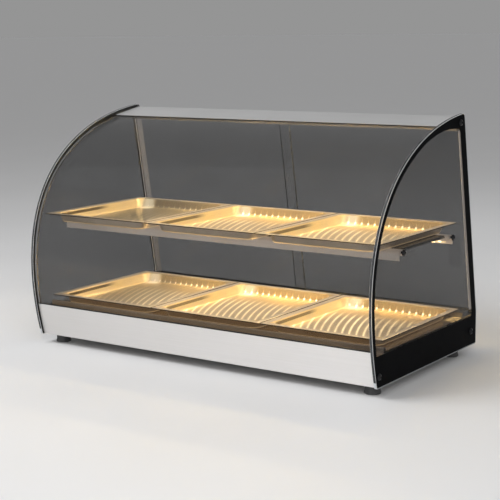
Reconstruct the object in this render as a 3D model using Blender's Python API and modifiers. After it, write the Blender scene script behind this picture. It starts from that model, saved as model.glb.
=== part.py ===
"""Countertop heated display cabinet: curved glass front, glass sides, two decks of pans, sliding rear doors.

Metres, +Z up. The cabinet stands on z = 0, its curved front faces -Y and its controls face +Y.
"""

import math

import bmesh
import bpy
from mathutils import Matrix, Vector

# Driving dimensions
WIDTH = 0.838  # over the outer faces of the side glasses
SIDE_GLASS = 0.006
GAP = 0.0003  # left between pieces that touch
HALF = WIDTH / 2 - SIDE_GLASS - GAP  # half the length of what fits between the side glasses
BASE_Z = 0.020  # underside of the body, on its feet
SHEET = 0.0012  # folded stainless sheet

# Front edge of the side glass: one cubic curve from the bottom corner over the bulge to the top
CURVE = [Vector(p) for p in ((-0.2145, 0.020), (-0.3161, 0.3992), (-0.0366, 0.4867), (0.1256, 0.5026))]
KINK = Vector((0.2086, 0.0882))  # where the upright rear edge begins to lean forward
LEAN_TOP = Vector((0.1375, 0.5046))  # a point on the leaning edge, at its top
LEAN = math.atan2(KINK.x - LEAN_TOP.x, LEAN_TOP.y - KINK.y)
TOP_CORNER_RADIUS = 0.010
FOOT_CORNER_RADIUS = 0.004

# Curved front: how far each skin lies inside the edge of the side glass
FASCIA_INSET = 0.005
FASCIA_TOP = 0.090
GLASS_INSET = 0.011
FRONT_GLASS = 0.004
GLASS_BOTTOM_Z = 0.0809
GLASS_TOP_Y = 0.062

# Base
TRAY_FRONT_Y = -0.198
TRAY_WALL_TOP = 0.0775
DECK_TOP = 0.0837
DECK_SHEET = 0.001
DECK_LIP_TOP = 0.091
DECK_LIP_Y = -0.1815
DECK_LIP_WIDTH = 0.008
PANEL_Y = 0.2065
PANEL_THICK = 0.0013
PANEL_TOP = 0.088
CONTROL_Z = 0.054
FOOT_RADIUS = 0.016
FOOT_X, FOOT_FRONT_Y, FOOT_REAR_Y = 0.388, -0.175, 0.154

# Pans
PAN_SIZE = (0.272, 0.323)
PAN_PITCH = 0.2735
PAN_HEIGHT = 0.020
PAN_SHEET = 0.0008
PAN_RIM = 0.014
PAN_COLUMNS = (("left", -1), ("middle", 0), ("right", 1))
LOWER_PAN_Y = -0.0187
UPPER_PAN_Y = -0.0343

# Shelf rails: a rounded extrusion with a channel underneath and a screw port along it
RAIL_TOP = 0.2643
RAIL_DEPTH = 0.017
RAIL_FRONT_Y, RAIL_REAR_Y = -0.1253, 0.100
RAIL_PORT_Z = 0.2598
SHELF_TOP = 0.2636
SHELF_HALF = 0.404

# Rear doors, measured in the leaning plane: n out from the glass edge, u up from the kink
DOOR_GLASS = 0.004
DOOR_N = {"left": -0.0225, "right": -0.0125}
DOOR_WIDTH = 0.427
DOOR_OVERLAP = 0.016
DOOR_LOW_U, DOOR_HIGH_U = 0.0053, 0.395
GROOVE_SIDE = 0.0028  # half the width of a door groove
TRACK_TOP = 0.0950
UPPER_TRACK_U = (0.3905, 0.4125)
POST_N = (-0.0240, -0.0010)
POST_THICK = 0.0011

# Fasteners
BOLT_RADIUS = 0.0024
BOLT_HOLE = 0.0028
BOLT_HEAD = (0.0065, 0.0042)  # radius, height
BOLT_LENGTH = 0.0145

collection = None


# Materials


def material(name, colour, roughness, metallic=0.0, alpha=1.0, glow=0.0):
    """A Principled material, made once for each name."""
    found = bpy.data.materials.get(name)
    if found:
        return found
    made = bpy.data.materials.new(name)
    made.use_nodes = True
    shader = made.node_tree.nodes["Principled BSDF"]
    shader.inputs["Base Color"].default_value = (*colour, 1.0)
    shader.inputs["Roughness"].default_value = roughness
    shader.inputs["Metallic"].default_value = metallic
    shader.inputs["Alpha"].default_value = alpha
    if glow:
        shader.inputs["Emission Color"].default_value = (*colour, 1.0)
        shader.inputs["Emission Strength"].default_value = glow
    return made


def stainless():
    return material("stainless", (0.72, 0.71, 0.69), 0.28, 1.0)


def pan_steel():
    return material("pan_steel", (0.80, 0.78, 0.74), 0.16, 1.0)


def clear_glass():
    return material("clear_glass", (0.86, 0.90, 0.90), 0.02, alpha=0.25)


def clear_acrylic():
    return material("clear_acrylic", (0.84, 0.86, 0.87), 0.10, alpha=0.35)


def black_rubber():
    return material("black_rubber", (0.02, 0.02, 0.02), 0.65)


def black_plastic():
    return material("black_plastic", (0.03, 0.03, 0.03), 0.40)


def black_steel():
    return material("black_steel", (0.025, 0.025, 0.028), 0.35, 0.6)


def rail_metal():
    return material("rail_metal", (0.62, 0.59, 0.55), 0.32, 1.0)


# Shape helpers


def finish(obj, mat, name):
    """Names the object, gives it its material and files it with the cabinet's parts."""
    obj.name = name
    obj.data.name = name
    obj.data.materials.clear()
    obj.data.materials.append(mat)
    for old in list(obj.users_collection):
        old.objects.unlink(obj)
    collection.objects.link(obj)
    return obj


def smooth(obj, angle=math.radians(35)):
    obj.data.shade_smooth()
    obj.data.set_sharp_from_angle(angle=angle)
    return obj


def bevelled(obj, width, segments=2):
    modifier = obj.modifiers.new("Edges", "BEVEL")
    modifier.width = width
    modifier.segments = segments
    modifier.limit_method = "ANGLE"
    return obj


def box(name, mat, size, location, rotation=(0, 0, 0)):
    bpy.ops.mesh.primitive_cube_add(size=1.0)
    obj = bpy.context.active_object
    obj.data.transform(Matrix.Diagonal((*size, 1.0)))
    obj.location = location
    obj.rotation_euler = rotation
    return finish(obj, mat, name)


def outline_solid(name, mat, outlines, low, high, axis="X", origin=(0, 0, 0)):
    """A flat outline carried from low to high along an axis. Outlines after the first are holes.

    Along X the outline's points are (y, z), along Y they are (x, z), both counted from the origin.
    """
    data = bpy.data.curves.new(name, "CURVE")
    data.dimensions = "2D"
    data.fill_mode = "BOTH"
    data.extrude = (high - low) / 2
    for points in outlines:
        spline = data.splines.new("POLY")
        spline.points.add(len(points) - 1)
        for target, (across, up) in zip(spline.points, points):
            target.co = (across, up, 0.0, 1.0)
        spline.use_cyclic_u = True
    obj = bpy.data.objects.new(name, data)
    middle = (low + high) / 2
    if axis == "X":
        obj.rotation_euler = (math.pi / 2, 0, math.pi / 2)
        obj.location = (middle, origin[1], origin[2])
    else:
        obj.rotation_euler = (math.pi / 2, 0, 0)
        obj.location = (origin[0], middle, origin[2])
    bpy.context.scene.collection.objects.link(obj)
    return finish(obj, mat, name)


def as_mesh(obj):
    """The same solid as a mesh, with its caps welded, so that it can be cut."""
    bpy.context.view_layer.update()
    evaluated = obj.evaluated_get(bpy.context.evaluated_depsgraph_get())
    mesh = bpy.data.meshes.new_from_object(evaluated)
    work = bmesh.new()
    work.from_mesh(mesh)
    bmesh.ops.remove_doubles(work, verts=work.verts, dist=0.00001)
    work.to_mesh(mesh)
    work.free()
    name, mat = obj.name, obj.data.materials[0]
    solid = bpy.data.objects.new(name + "_solid", mesh)
    bpy.context.scene.collection.objects.link(solid)
    solid.matrix_world = obj.matrix_world.copy()
    bpy.data.objects.remove(obj)
    return finish(solid, mat, name)


def turned(name, mat, profile, location, rotation, segments=24, closed=False):
    """A profile of (radius, height) points, running down its outer side, turned about its own Z."""
    mesh = bpy.data.meshes.new(name)
    edges = [(i, i + 1) for i in range(len(profile) - 1)]
    if closed:
        edges.append((len(profile) - 1, 0))
    mesh.from_pydata([(r, 0.0, z) for r, z in profile], edges, [])
    obj = bpy.data.objects.new(name, mesh)
    bpy.context.scene.collection.objects.link(obj)
    screw = obj.modifiers.new("Turn", "SCREW")
    screw.steps = segments
    screw.render_steps = segments
    screw.use_merge_vertices = True
    screw.merge_threshold = 0.00001
    screw.use_smooth_shade = False
    obj.location = location
    obj.rotation_euler = rotation
    return finish(obj, mat, name)


def rod(radius, length, location, axis, name, mat, segments=24):
    """A plain cylinder centred on a location, along X, Y or Z."""
    turn = {"X": (0, math.pi / 2, 0), "Y": (math.pi / 2, 0, 0), "Z": (0, 0, 0)}[axis]
    bpy.ops.mesh.primitive_cylinder_add(vertices=segments, radius=radius, depth=length)
    obj = bpy.context.active_object
    obj.location = location
    obj.rotation_euler = turn
    return finish(obj, mat, name)


def tube(name, mat, points, radius, resolution=1, radii=None):
    """A bent rod along points, with a radius factor for each point if it varies."""
    data = bpy.data.curves.new(name, "CURVE")
    data.dimensions = "3D"
    data.bevel_depth = radius
    data.bevel_resolution = resolution
    data.use_fill_caps = True
    spline = data.splines.new("POLY")
    spline.points.add(len(points) - 1)
    for i, point in enumerate(points):
        spline.points[i].co = (*point, 1.0)
        spline.points[i].radius = radii[i] if radii else 1.0
    obj = bpy.data.objects.new(name, data)
    bpy.context.scene.collection.objects.link(obj)
    return finish(obj, mat, name)


def combine(obj, other, operation):
    """Cuts another solid from an object or joins it to it, and files the other with the cutters."""
    for old in list(other.users_collection):
        old.objects.unlink(other)
    bpy.data.collections["cutters"].objects.link(other)
    other.hide_render = True
    other.display_type = "WIRE"
    modifier = obj.modifiers.new(other.name, "BOOLEAN")
    modifier.operation = operation
    modifier.object = other
    return obj


def fillet(before, corner, after, radius, segments=5):
    """The arc that rounds one corner of an outline."""
    to_before = (before - corner).normalized()
    to_after = (after - corner).normalized()
    half = to_before.angle(to_after) / 2
    centre = corner + (to_before + to_after).normalized() * radius / math.sin(half)
    start = corner + to_before * radius / math.tan(half) - centre
    end = corner + to_after * radius / math.tan(half) - centre
    first = math.atan2(start.y, start.x)
    sweep = (math.atan2(end.y, end.x) - first + math.pi) % (2 * math.pi) - math.pi
    angles = [first + sweep * k / segments for k in range(segments + 1)]
    return [centre + radius * Vector((math.cos(a), math.sin(a))) for a in angles]


def rounded(corners, radius, segments=5):
    """An outline with every corner rounded to one radius."""
    corners = [Vector(c) for c in corners]
    points = []
    for i, corner in enumerate(corners):
        points += fillet(corners[i - 1], corner, corners[(i + 1) % len(corners)], radius, segments)
    return points


def circle(centre, radius, segments=20):
    angles = [2 * math.pi * k / segments for k in range(segments)]
    return [Vector(centre) + radius * Vector((math.cos(a), math.sin(a))) for a in angles]


def rectangle(centre, width, height):
    x, z = centre
    return [
        Vector((x + sx * width / 2, z + sz * height / 2))
        for sx, sz in ((-1, -1), (1, -1), (1, 1), (-1, 1))
    ]


def slot(centre, width, height, segments=4):
    """A rectangle with round ends, or very nearly round ones."""
    radius = min(width, height) * 0.49
    return rounded(rectangle(centre, width, height), radius, segments)


def folded(path, thickness):
    """The outline of a sheet folded along a path, with the thickness on the path's right."""
    path = [Vector(p) for p in path]
    inner = []
    for i, point in enumerate(path):
        ways = []
        if i > 0:
            ways.append((point - path[i - 1]).normalized())
        if i < len(path) - 1:
            ways.append((path[i + 1] - point).normalized())
        normals = [Vector((way.y, -way.x)) for way in ways]
        middle = sum(normals, Vector((0.0, 0.0))).normalized()
        inner.append(point + middle * thickness / middle.dot(normals[0]))
    return path + inner[::-1]


# The front curve and the leaning rear plane


def on_curve(t, inset=0.0):
    """The point (y, z) at t on the front curve, moved inward by inset."""
    a, b, c, d = CURVE
    s = 1 - t
    point = s**3 * a + 3 * s * s * t * b + 3 * s * t * t * c + t**3 * d
    way = (3 * s * s * (b - a) + 6 * s * t * (c - b) + 3 * t * t * (d - c)).normalized()
    return point + inset * Vector((way.y, -way.x))


def curve_t(inset, axis, value):
    """Where the inset curve reaches a given height (axis 1), or a given y on its upper half (axis 0)."""
    low, high = (0.0, 1.0) if axis == 1 else (0.5, 1.0)
    for _ in range(40):
        middle = (low + high) / 2
        if on_curve(middle, inset)[axis] < value:
            low = middle
        else:
            high = middle
    return low


def stretch(inset, start, end, count):
    """Points along the inset curve between two ends, each an (axis, value) pair."""
    t0, t1 = curve_t(inset, *start), curve_t(inset, *end)
    return [on_curve(t0 + (t1 - t0) * k / (count - 1), inset) for k in range(count)]


def lean(n, u):
    """World (y, z) of a point n out from the leaning edge and u up along it."""
    out = Vector((math.cos(LEAN), math.sin(LEAN)))
    up = Vector((-math.sin(LEAN), math.cos(LEAN)))
    return KINK + n * out + u * up


def lean_at_height(n, z):
    u = (z - lean(n, 0.0).y) / math.cos(LEAN)
    return lean(n, u)


# Bolt positions on the side glasses, (y, z)
TOP_BOLT = Vector((0.1193, 0.4855))
BOLTS = {
    "lower_front": Vector((-0.2076, 0.0425)),
    "lower_rear": Vector((0.1821, 0.0506)),
    "shelf_front": Vector((RAIL_FRONT_Y + RAIL_DEPTH / 2, RAIL_PORT_Z)),
    "shelf_rear": Vector((RAIL_REAR_Y - RAIL_DEPTH / 2, RAIL_PORT_Z)),
    "top_rear": TOP_BOLT,
}
FRONT_REACH = -min(on_curve(k / 400).x for k in range(401))


# Glass


def side_glasses():
    arc = [on_curve(k / 26) for k in range(27)]
    way_up = (CURVE[3] - CURVE[2]).normalized()
    edge_way = lean(0, 1) - lean(0, 0)
    # the top corner is where the curve's last tangent meets the leaning edge
    along = (KINK - CURVE[3]).cross(edge_way) / way_up.cross(edge_way)
    corner = CURVE[3] + way_up * along
    rear_foot = Vector((KINK.x, BASE_Z))
    outline = arc[1:]
    outline += fillet(arc[-1], corner, KINK, TOP_CORNER_RADIUS, 7)
    outline.append(KINK)
    outline += fillet(KINK, rear_foot, CURVE[0], FOOT_CORNER_RADIUS, 3)
    outline += fillet(rear_foot, CURVE[0], arc[1], FOOT_CORNER_RADIUS, 3)
    holes = [circle(spot, BOLT_HOLE, 12) for spot in BOLTS.values()]
    for side, sign in (("left", -1), ("right", 1)):
        faces = sorted((sign * WIDTH / 2, sign * (WIDTH / 2 - SIDE_GLASS)))
        outline_solid(f"side_glass_{side}", clear_glass(), [outline, *holes], *faces)


def front_glass():
    ends = (1, GLASS_BOTTOM_Z), (0, GLASS_TOP_Y)
    outer = stretch(GLASS_INSET, *ends, 28)
    inner = stretch(GLASS_INSET + FRONT_GLASS, *ends, 28)
    outline_solid("front_glass", clear_glass(), [outer + inner[::-1]], -HALF, HALF)


def lower_glass_seal():
    """The channel of black rubber that holds the bottom edge of the curved glass."""
    bottom, floor_z, outer_top, inner_top = 0.0790, 0.0805, 0.092, 0.088
    inner = GLASS_INSET + FRONT_GLASS
    outline = stretch(FASCIA_INSET + SHEET + 2 * GAP, (1, bottom), (1, outer_top), 4)
    outline += stretch(GLASS_INSET - GAP, (1, outer_top), (1, floor_z), 4)
    outline += stretch(inner + GAP, (1, floor_z), (1, inner_top), 3)
    outline += stretch(inner + 0.0024, (1, inner_top), (1, bottom), 3)
    outline_solid("lower_glass_seal", black_rubber(), [outline], -HALF, HALF)


def upper_glass_seal():
    """The rubber strip between the curved glass and the roof plate's front edge."""
    ends = (0, 0.0508), (0, GLASS_TOP_Y)
    outline = stretch(GLASS_INSET - 0.0014, *ends, 5) + stretch(GLASS_INSET - GAP, *ends, 5)[::-1]
    outline_solid("upper_glass_seal", black_rubber(), [outline], -HALF, HALF)


# Body


def base_tray():
    """Floor, side walls and front wall of the base, with a flange forward that carries the glass."""
    half_x, rear_y, flange = HALF - 0.0016, PANEL_Y - 2 * GAP, 0.020
    low = Vector((-half_x, TRAY_FRONT_Y, BASE_Z + GAP))
    high = Vector((half_x, rear_y, TRAY_WALL_TOP))
    work = bmesh.new()
    bmesh.ops.create_cube(work, size=1.0)
    for vert in work.verts:
        vert.co = Vector([low[k] if vert.co[k] < 0 else high[k] for k in range(3)])
    open_faces = [f for f in work.faces if f.normal.z > 0.5 or f.normal.y > 0.5]
    bmesh.ops.delete(work, geom=open_faces, context="FACES")
    front_top = [
        e for e in work.edges if all(v.co.y < low.y + GAP and v.co.z > high.z - GAP for v in e.verts)
    ]
    made = bmesh.ops.extrude_edge_only(work, edges=front_top)["geom"]
    for vert in made:
        if isinstance(vert, bmesh.types.BMVert):
            vert.co.y -= flange
    bmesh.ops.recalc_face_normals(work, faces=work.faces)
    floor = min(work.faces, key=lambda f: f.calc_center_median().z)
    if floor.normal.z > 0:
        bmesh.ops.reverse_faces(work, faces=work.faces)
    mesh = bpy.data.meshes.new("base_tray")
    work.to_mesh(mesh)
    work.free()
    tray = bpy.data.objects.new("base_tray", mesh)
    bpy.context.scene.collection.objects.link(tray)
    finish(tray, stainless(), "base_tray")
    shell = tray.modifiers.new("Sheet", "SOLIDIFY")
    shell.thickness = SHEET
    shell.offset = -1.0
    shell.use_even_offset = True
    y, z = BOLTS["lower_rear"]
    drill = rod(BOLT_HOLE, WIDTH, (0, y, z), "X", "tray_bolt_drill", stainless(), 16)
    combine(tray, drill, "DIFFERENCE")


def front_fascia():
    """The curved front sheet, with a flange under it and a cheek at each end for the front bolts."""
    bottom, cheek_top, back = BASE_Z + GAP, TRAY_WALL_TOP - GAP, TRAY_FRONT_Y - GAP
    inner = FASCIA_INSET + SHEET
    outline = stretch(FASCIA_INSET, (1, bottom), (1, FASCIA_TOP), 9)
    outline += stretch(inner, (1, FASCIA_TOP), (1, cheek_top), 3)
    outline += [Vector((back, cheek_top)), Vector((back, bottom))]
    fascia = as_mesh(outline_solid("front_fascia", stainless(), [outline], -HALF, HALF))
    above, behind = FASCIA_TOP + 0.005, back + 0.008
    hollow = stretch(inner, (1, bottom + SHEET), (1, above), 9)
    hollow += [Vector((behind, above)), Vector((behind, bottom + SHEET))]
    reach = HALF - SHEET
    cutter = as_mesh(outline_solid("fascia_hollow", stainless(), [hollow], -reach, reach))
    combine(fascia, cutter, "DIFFERENCE")
    y, z = BOLTS["lower_front"]
    drill = rod(BOLT_HOLE, WIDTH, (0, y, z), "X", "fascia_bolt_drill", stainless(), 16)
    combine(fascia, drill, "DIFFERENCE")


def deck():
    """The heated deck under the lower pans: a raised lip in front and a turned-down flange each side."""
    front, rear, side = -0.208, PANEL_Y - 0.0007, HALF - 2 * GAP
    lip_back = DECK_LIP_Y + DECK_LIP_WIDTH
    low = TRAY_WALL_TOP + SHEET + GAP + DECK_SHEET
    path = [
        (front, low),
        (DECK_LIP_Y, low),
        (DECK_LIP_Y, DECK_LIP_TOP),
        (lip_back, DECK_LIP_TOP),
        (lip_back, DECK_TOP),
        (rear, DECK_TOP),
    ]
    plate = as_mesh(outline_solid("deck", stainless(), [folded(path, DECK_SHEET)], -side, side))
    flange_low, flange_high = TRAY_WALL_TOP + 0.0015, DECK_TOP - DECK_SHEET / 2
    for index, sign in enumerate((-1, 1)):
        size = (DECK_SHEET, rear - lip_back, flange_high - flange_low)
        place = (
            sign * (side - DECK_SHEET / 2),
            (rear + lip_back) / 2 - DECK_SHEET / 2,
            (flange_low + flange_high) / 2,
        )
        combine(plate, box(f"deck_flange_{index}", stainless(), size, place), "UNION")


def rear_panel():
    """The control panel, with its cut-outs and vent slots."""
    low, high = BASE_Z + 2 * GAP, PANEL_TOP
    outline = rectangle((0, (low + high) / 2), 2 * (HALF - GAP), high - low)
    holes = [
        circle((KNOB_X, CONTROL_Z), 0.0045, 16),
        circle((LAMP_X, CONTROL_Z), 0.0052, 16),
        circle((GLAND_X, CONTROL_Z), 0.0082, 20),
    ]
    holes += [rectangle((x, CONTROL_Z), *SWITCH_CUTOUT) for x in (POWER_X, LIGHT_X)]
    holes += [slot((VENT_X + k * VENT_PITCH, CONTROL_Z), 0.005, 0.034, 2) for k in range(VENT_COUNT)]
    outline_solid(
        "rear_panel", stainless(), [outline, *holes], PANEL_Y, PANEL_Y + PANEL_THICK, axis="Y"
    )


def top_plate():
    """The narrow roof between the curved glass and the doors, folded down behind the door track."""
    front, rear = Vector((0.050, 0.483)), lean(-0.0056, 0.4162)
    path = [front, rear, lean(-0.0056, 0.392)]
    outline = folded(path, SHEET)
    outline_solid("top_plate", stainless(), [outline], -HALF, HALF)


def feet():
    profile = [
        (0.0, BASE_Z),
        (FOOT_RADIUS * 0.92, BASE_Z),
        (FOOT_RADIUS * 0.96, 0.004),
        (FOOT_RADIUS, 0.0035),
        (FOOT_RADIUS, 0.001),
        (FOOT_RADIUS - 0.001, 0.0),
        (0.0, 0.0),
    ]
    for side, sign in (("left", -1), ("right", 1)):
        for end, y in (("front", FOOT_FRONT_Y), ("rear", FOOT_REAR_Y)):
            foot = turned(
                f"foot_{end}_{side}", black_rubber(), profile, (sign * FOOT_X, y, 0), (0, 0, 0), 24
            )
            smooth(foot)


# Rear doors and their frame


def door_track_lower():
    front_y, rear_n, bottom = 0.150, -0.0045, DECK_TOP + GAP
    outline = [Vector((front_y, bottom)), lean_at_height(rear_n, bottom), lean_at_height(rear_n, TRACK_TOP)]
    for side in ("right", "left"):
        near, far = DOOR_N[side] + GROOVE_SIDE, DOOR_N[side] - GROOVE_SIDE
        floor_u = DOOR_LOW_U - GAP
        outline += [
            lean_at_height(near, TRACK_TOP), lean(near, floor_u), lean(far, floor_u),
            lean_at_height(far, TRACK_TOP),
        ]
    outline.append(Vector((front_y, TRACK_TOP)))
    outline_solid("door_track_lower", rail_metal(), [outline], -HALF, HALF)


def door_track_upper():
    low_u, high_u = UPPER_TRACK_U
    groove_top = DOOR_HIGH_U + 0.004
    rear, front = -0.0072, -0.0283
    outline = [lean(rear, high_u), lean(rear, low_u)]
    for side in ("right", "left"):
        near, far = DOOR_N[side] + GROOVE_SIDE, DOOR_N[side] - GROOVE_SIDE
        outline += [
            lean(near, low_u), lean(near, groove_top), lean(far, groove_top), lean(far, low_u)
        ]
    outline += [lean(front, low_u), lean(front, high_u)]
    port = circle(TOP_BOLT, BOLT_HOLE, 12)
    outline_solid("door_track_upper", rail_metal(), [outline, port], -HALF, HALF)


def rear_posts():
    """Flat bars that stand against the side glasses, outside the ends of the doors."""
    low, high_u = TRACK_TOP + GAP, UPPER_TRACK_U[0] - GAP
    outline = [lean_at_height(n, low) for n in POST_N] + [lean(n, high_u) for n in reversed(POST_N)]
    for side, sign in (("left", -1), ("right", 1)):
        faces = sorted((sign * HALF, sign * (HALF - POST_THICK)))
        outline_solid(f"rear_post_{side}", rail_metal(), [outline], *faces)


def doors():
    height, u = DOOR_HIGH_U - DOOR_LOW_U, (DOOR_HIGH_U + DOOR_LOW_U) / 2
    pull_width, pull_height, pull_thick, pull_u = 0.024, 0.064, 0.003, 0.131
    for side, sign in (("left", -1), ("right", 1)):
        n = DOOR_N[side]
        x = sign * (DOOR_WIDTH / 2 - DOOR_OVERLAP)
        door = box(
            f"door_glass_{side}",
            clear_glass(),
            (DOOR_WIDTH, DOOR_GLASS, height),
            (x, *lean(n, u)),
            (LEAN, 0, 0),
        )
        bevelled(door, 0.0005, 1)
        outer = rounded(rectangle((0, 0), pull_width, pull_height), 0.006, 4)
        grip = slot((0, 0), 0.013, 0.046)
        pull = outline_solid(
            f"door_pull_{side}", clear_acrylic(), [outer, grip], -pull_thick / 2, pull_thick / 2, "Y"
        )
        pull.location = (
            x + sign * (DOOR_WIDTH / 2 - 0.030),
            *lean(n + DOOR_GLASS / 2 + GAP + pull_thick / 2, pull_u),
        )
        pull.rotation_euler = (math.pi / 2 + LEAN, 0, 0)


# Shelf


def shelf_rail(name, outer_y, inward):
    """One rail: rounded on top, a skirt on its outer side, a light channel beneath and a ledge inside."""
    skirt, lip, channel_top, wall = 0.2445, 0.252, 0.2555, 0.0018
    ledge_z, ledge_reach = SHELF_TOP - SHEET - GAP, 0.0035

    def at(across, z):
        return Vector((outer_y + inward * across, z))

    outline = [at(0, skirt)]
    outline += fillet(at(0, skirt), at(0, RAIL_TOP), at(RAIL_DEPTH, RAIL_TOP), 0.0075, 6)
    outline += fillet(at(0, RAIL_TOP), at(RAIL_DEPTH, RAIL_TOP), at(RAIL_DEPTH, ledge_z), 0.0008, 2)
    outline += [
        at(RAIL_DEPTH, ledge_z),
        at(RAIL_DEPTH + ledge_reach, ledge_z),
        at(RAIL_DEPTH + ledge_reach, ledge_z - 0.0012),
        at(RAIL_DEPTH, ledge_z - 0.0012),
        at(RAIL_DEPTH, lip),
        at(RAIL_DEPTH - wall, lip),
        at(RAIL_DEPTH - wall, channel_top),
        at(wall, channel_top),
        at(wall, skirt),
    ]
    port = circle(at(RAIL_DEPTH / 2, RAIL_PORT_Z), BOLT_HOLE, 12)
    outline_solid(name, rail_metal(), [outline, port], -HALF, HALF)


def shelf_plate():
    """The sheet between the rails, turned down at both ends."""
    drop = 0.005
    path = [
        (-SHELF_HALF, SHELF_TOP - drop),
        (-SHELF_HALF, SHELF_TOP),
        (SHELF_HALF, SHELF_TOP),
        (SHELF_HALF, SHELF_TOP - drop),
    ]
    low = RAIL_FRONT_Y + RAIL_DEPTH + 0.0005
    high = RAIL_REAR_Y - RAIL_DEPTH - 0.0005
    drop_clear = 0.0045  # the turned-down ends stop short of the ledges
    plate = as_mesh(outline_solid("shelf_plate", stainless(), [folded(path, SHEET)], low, high, "Y"))
    for index, y in enumerate((low, high)):
        size = (2 * SHELF_HALF + 0.01, 2 * drop_clear, drop)
        notch = box(f"shelf_notch_{index}", stainless(), size, (0, y, SHELF_TOP - SHEET - drop / 2))
        combine(plate, notch, "DIFFERENCE")


def light_bars():
    """The two light bars: one in the rear rail's channel, one under the roof plate."""
    glow = material("light_diffuser", (1.0, 0.86, 0.55), 0.4, glow=4.0)
    length = 0.800
    shelf_y = RAIL_REAR_Y - RAIL_DEPTH / 2
    box("led_bar_shelf", glow, (length, 0.0126, 0.0072), (0, shelf_y, 0.2516))
    slope = math.atan2(lean(-0.0056, 0.4162).y - 0.483, lean(-0.0056, 0.4162).x - 0.050)
    box("led_bar_roof", glow, (length, 0.014, 0.006), (0, 0.084, 0.4842), (slope, 0, 0))


# Pans


def rounded_loop(half_x, half_y, radius, z, segments=5):
    corners = rectangle((0, 0), 2 * half_x, 2 * half_y)
    return [Vector((x, y, z)) for x, y in rounded(corners, radius, segments)]


def pan_mesh():
    """A shallow pan, lofted from its square-cornered rim down to its round-cornered floor."""
    half_x, half_y = PAN_SIZE[0] / 2, PAN_SIZE[1] / 2
    depth = PAN_HEIGHT - PAN_SHEET
    loops = [
        rounded_loop(half_x, half_y, 0.0015, 0.0),
        rounded_loop(half_x - PAN_RIM, half_y - PAN_RIM, 0.027, 0.0),
        rounded_loop(half_x - PAN_RIM - 0.006, half_y - PAN_RIM - 0.006, 0.022, 0.004 - depth),
        rounded_loop(half_x - PAN_RIM - 0.010, half_y - PAN_RIM - 0.010, 0.018, -depth),
    ]
    work = bmesh.new()
    rings = [[work.verts.new(point) for point in loop] for loop in loops]
    for upper, lower in zip(rings, rings[1:]):
        for i in range(len(upper)):
            j = (i + 1) % len(upper)
            work.faces.new((upper[i], upper[j], lower[j], lower[i]))
    work.faces.new(rings[-1])
    mesh = bpy.data.meshes.new("pan")
    work.to_mesh(mesh)
    work.free()
    mesh.materials.append(pan_steel())
    return mesh


def pans():
    shared = pan_mesh()
    lower_rim = DECK_TOP + GAP + PAN_HEIGHT
    upper_rim = RAIL_TOP + GAP + PAN_HEIGHT
    for level, y, rim in (("lower", LOWER_PAN_Y, lower_rim), ("upper", UPPER_PAN_Y, upper_rim)):
        for column, place in PAN_COLUMNS:
            pan = bpy.data.objects.new(f"pan_{level}_{column}", shared)
            pan.location = (place * PAN_PITCH, y, rim)
            collection.objects.link(pan)
            sheet = pan.modifiers.new("Sheet", "SOLIDIFY")
            sheet.thickness = PAN_SHEET
            sheet.offset = -1.0


# Fasteners


def bolts():
    radius, height = BOLT_HEAD
    profile = [
        (0.0, height),
        (radius * 0.52, height * 0.86),
        (radius * 0.87, height * 0.50),
        (radius, 0.0005),
        (radius, 0.0),
        (BOLT_RADIUS, 0.0),
        (BOLT_RADIUS, -BOLT_LENGTH),
        (0.0, -BOLT_LENGTH),
    ]
    for side, sign in (("left", -1), ("right", 1)):
        for spot, (y, z) in BOLTS.items():
            place = (sign * (WIDTH / 2 + GAP), y, z)
            bolt = turned(
                f"bolt_{spot}_{side}", black_steel(), profile, place, (0, sign * math.pi / 2, 0), 16
            )
            smooth(bolt)


# Controls on the rear panel
KNOB_X, LAMP_X, POWER_X, LIGHT_X, GLAND_X = -0.215, -0.265, -0.305, -0.345, 0.365
SWITCH_CUTOUT = (0.0205, 0.0285)
VENT_X, VENT_PITCH, VENT_COUNT = 0.090, 0.013, 10
ROCKER_TILT = math.radians(8)
PANEL_OUTER_Y = PANEL_Y + PANEL_THICK
ROCKER_Y = PANEL_OUTER_Y - 0.003
SHAFT_REACH = 0.016  # of the thermostat's shaft beyond the panel
ALONG_Y = (-math.pi / 2, 0, 0)  # turns a piece's own Z to +Y


def thermostat():
    front = PANEL_Y - GAP
    body = box("thermostat", black_plastic(), (0.042, 0.030, 0.042), (KNOB_X, front - 0.015, CONTROL_Z))
    low, high = front - 0.004, PANEL_OUTER_Y + SHAFT_REACH
    place = (KNOB_X, (low + high) / 2, CONTROL_Z)
    combine(body, rod(0.003, high - low, place, "Y", "thermostat_shaft", stainless(), 16), "UNION")


def thermostat_knob():
    """The temperature knob. It is the rearmost point, as far behind the origin as the glass is in front."""
    start = PANEL_OUTER_Y + 0.0007
    length = FRONT_REACH - start
    bore_radius, bore_end = 0.0034, PANEL_OUTER_Y + SHAFT_REACH + 0.001
    profile = [
        (0.0, length),
        (0.0125, length),
        (0.0145, length - 0.0015),
        (0.0165, 0.006),
        (0.0215, 0.0045),
        (0.0220, 0.0),
        (0.0, 0.0),
    ]
    knob = turned(
        "thermostat_knob", black_plastic(), profile, (KNOB_X, start, CONTROL_Z), ALONG_Y, 28
    )
    smooth(knob)
    grip_size = (0.006, length - 0.008, 0.036)
    place = (KNOB_X, start + 0.006 + grip_size[1] / 2, CONTROL_Z)
    combine(knob, box("knob_grip", black_plastic(), grip_size, place), "UNION")
    low, high = start - 0.002, bore_end
    place = (KNOB_X, (low + high) / 2, CONTROL_Z)
    bore = rod(bore_radius, high - low, place, "Y", "knob_bore", black_plastic(), 16)
    combine(knob, bore, "DIFFERENCE")


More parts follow.
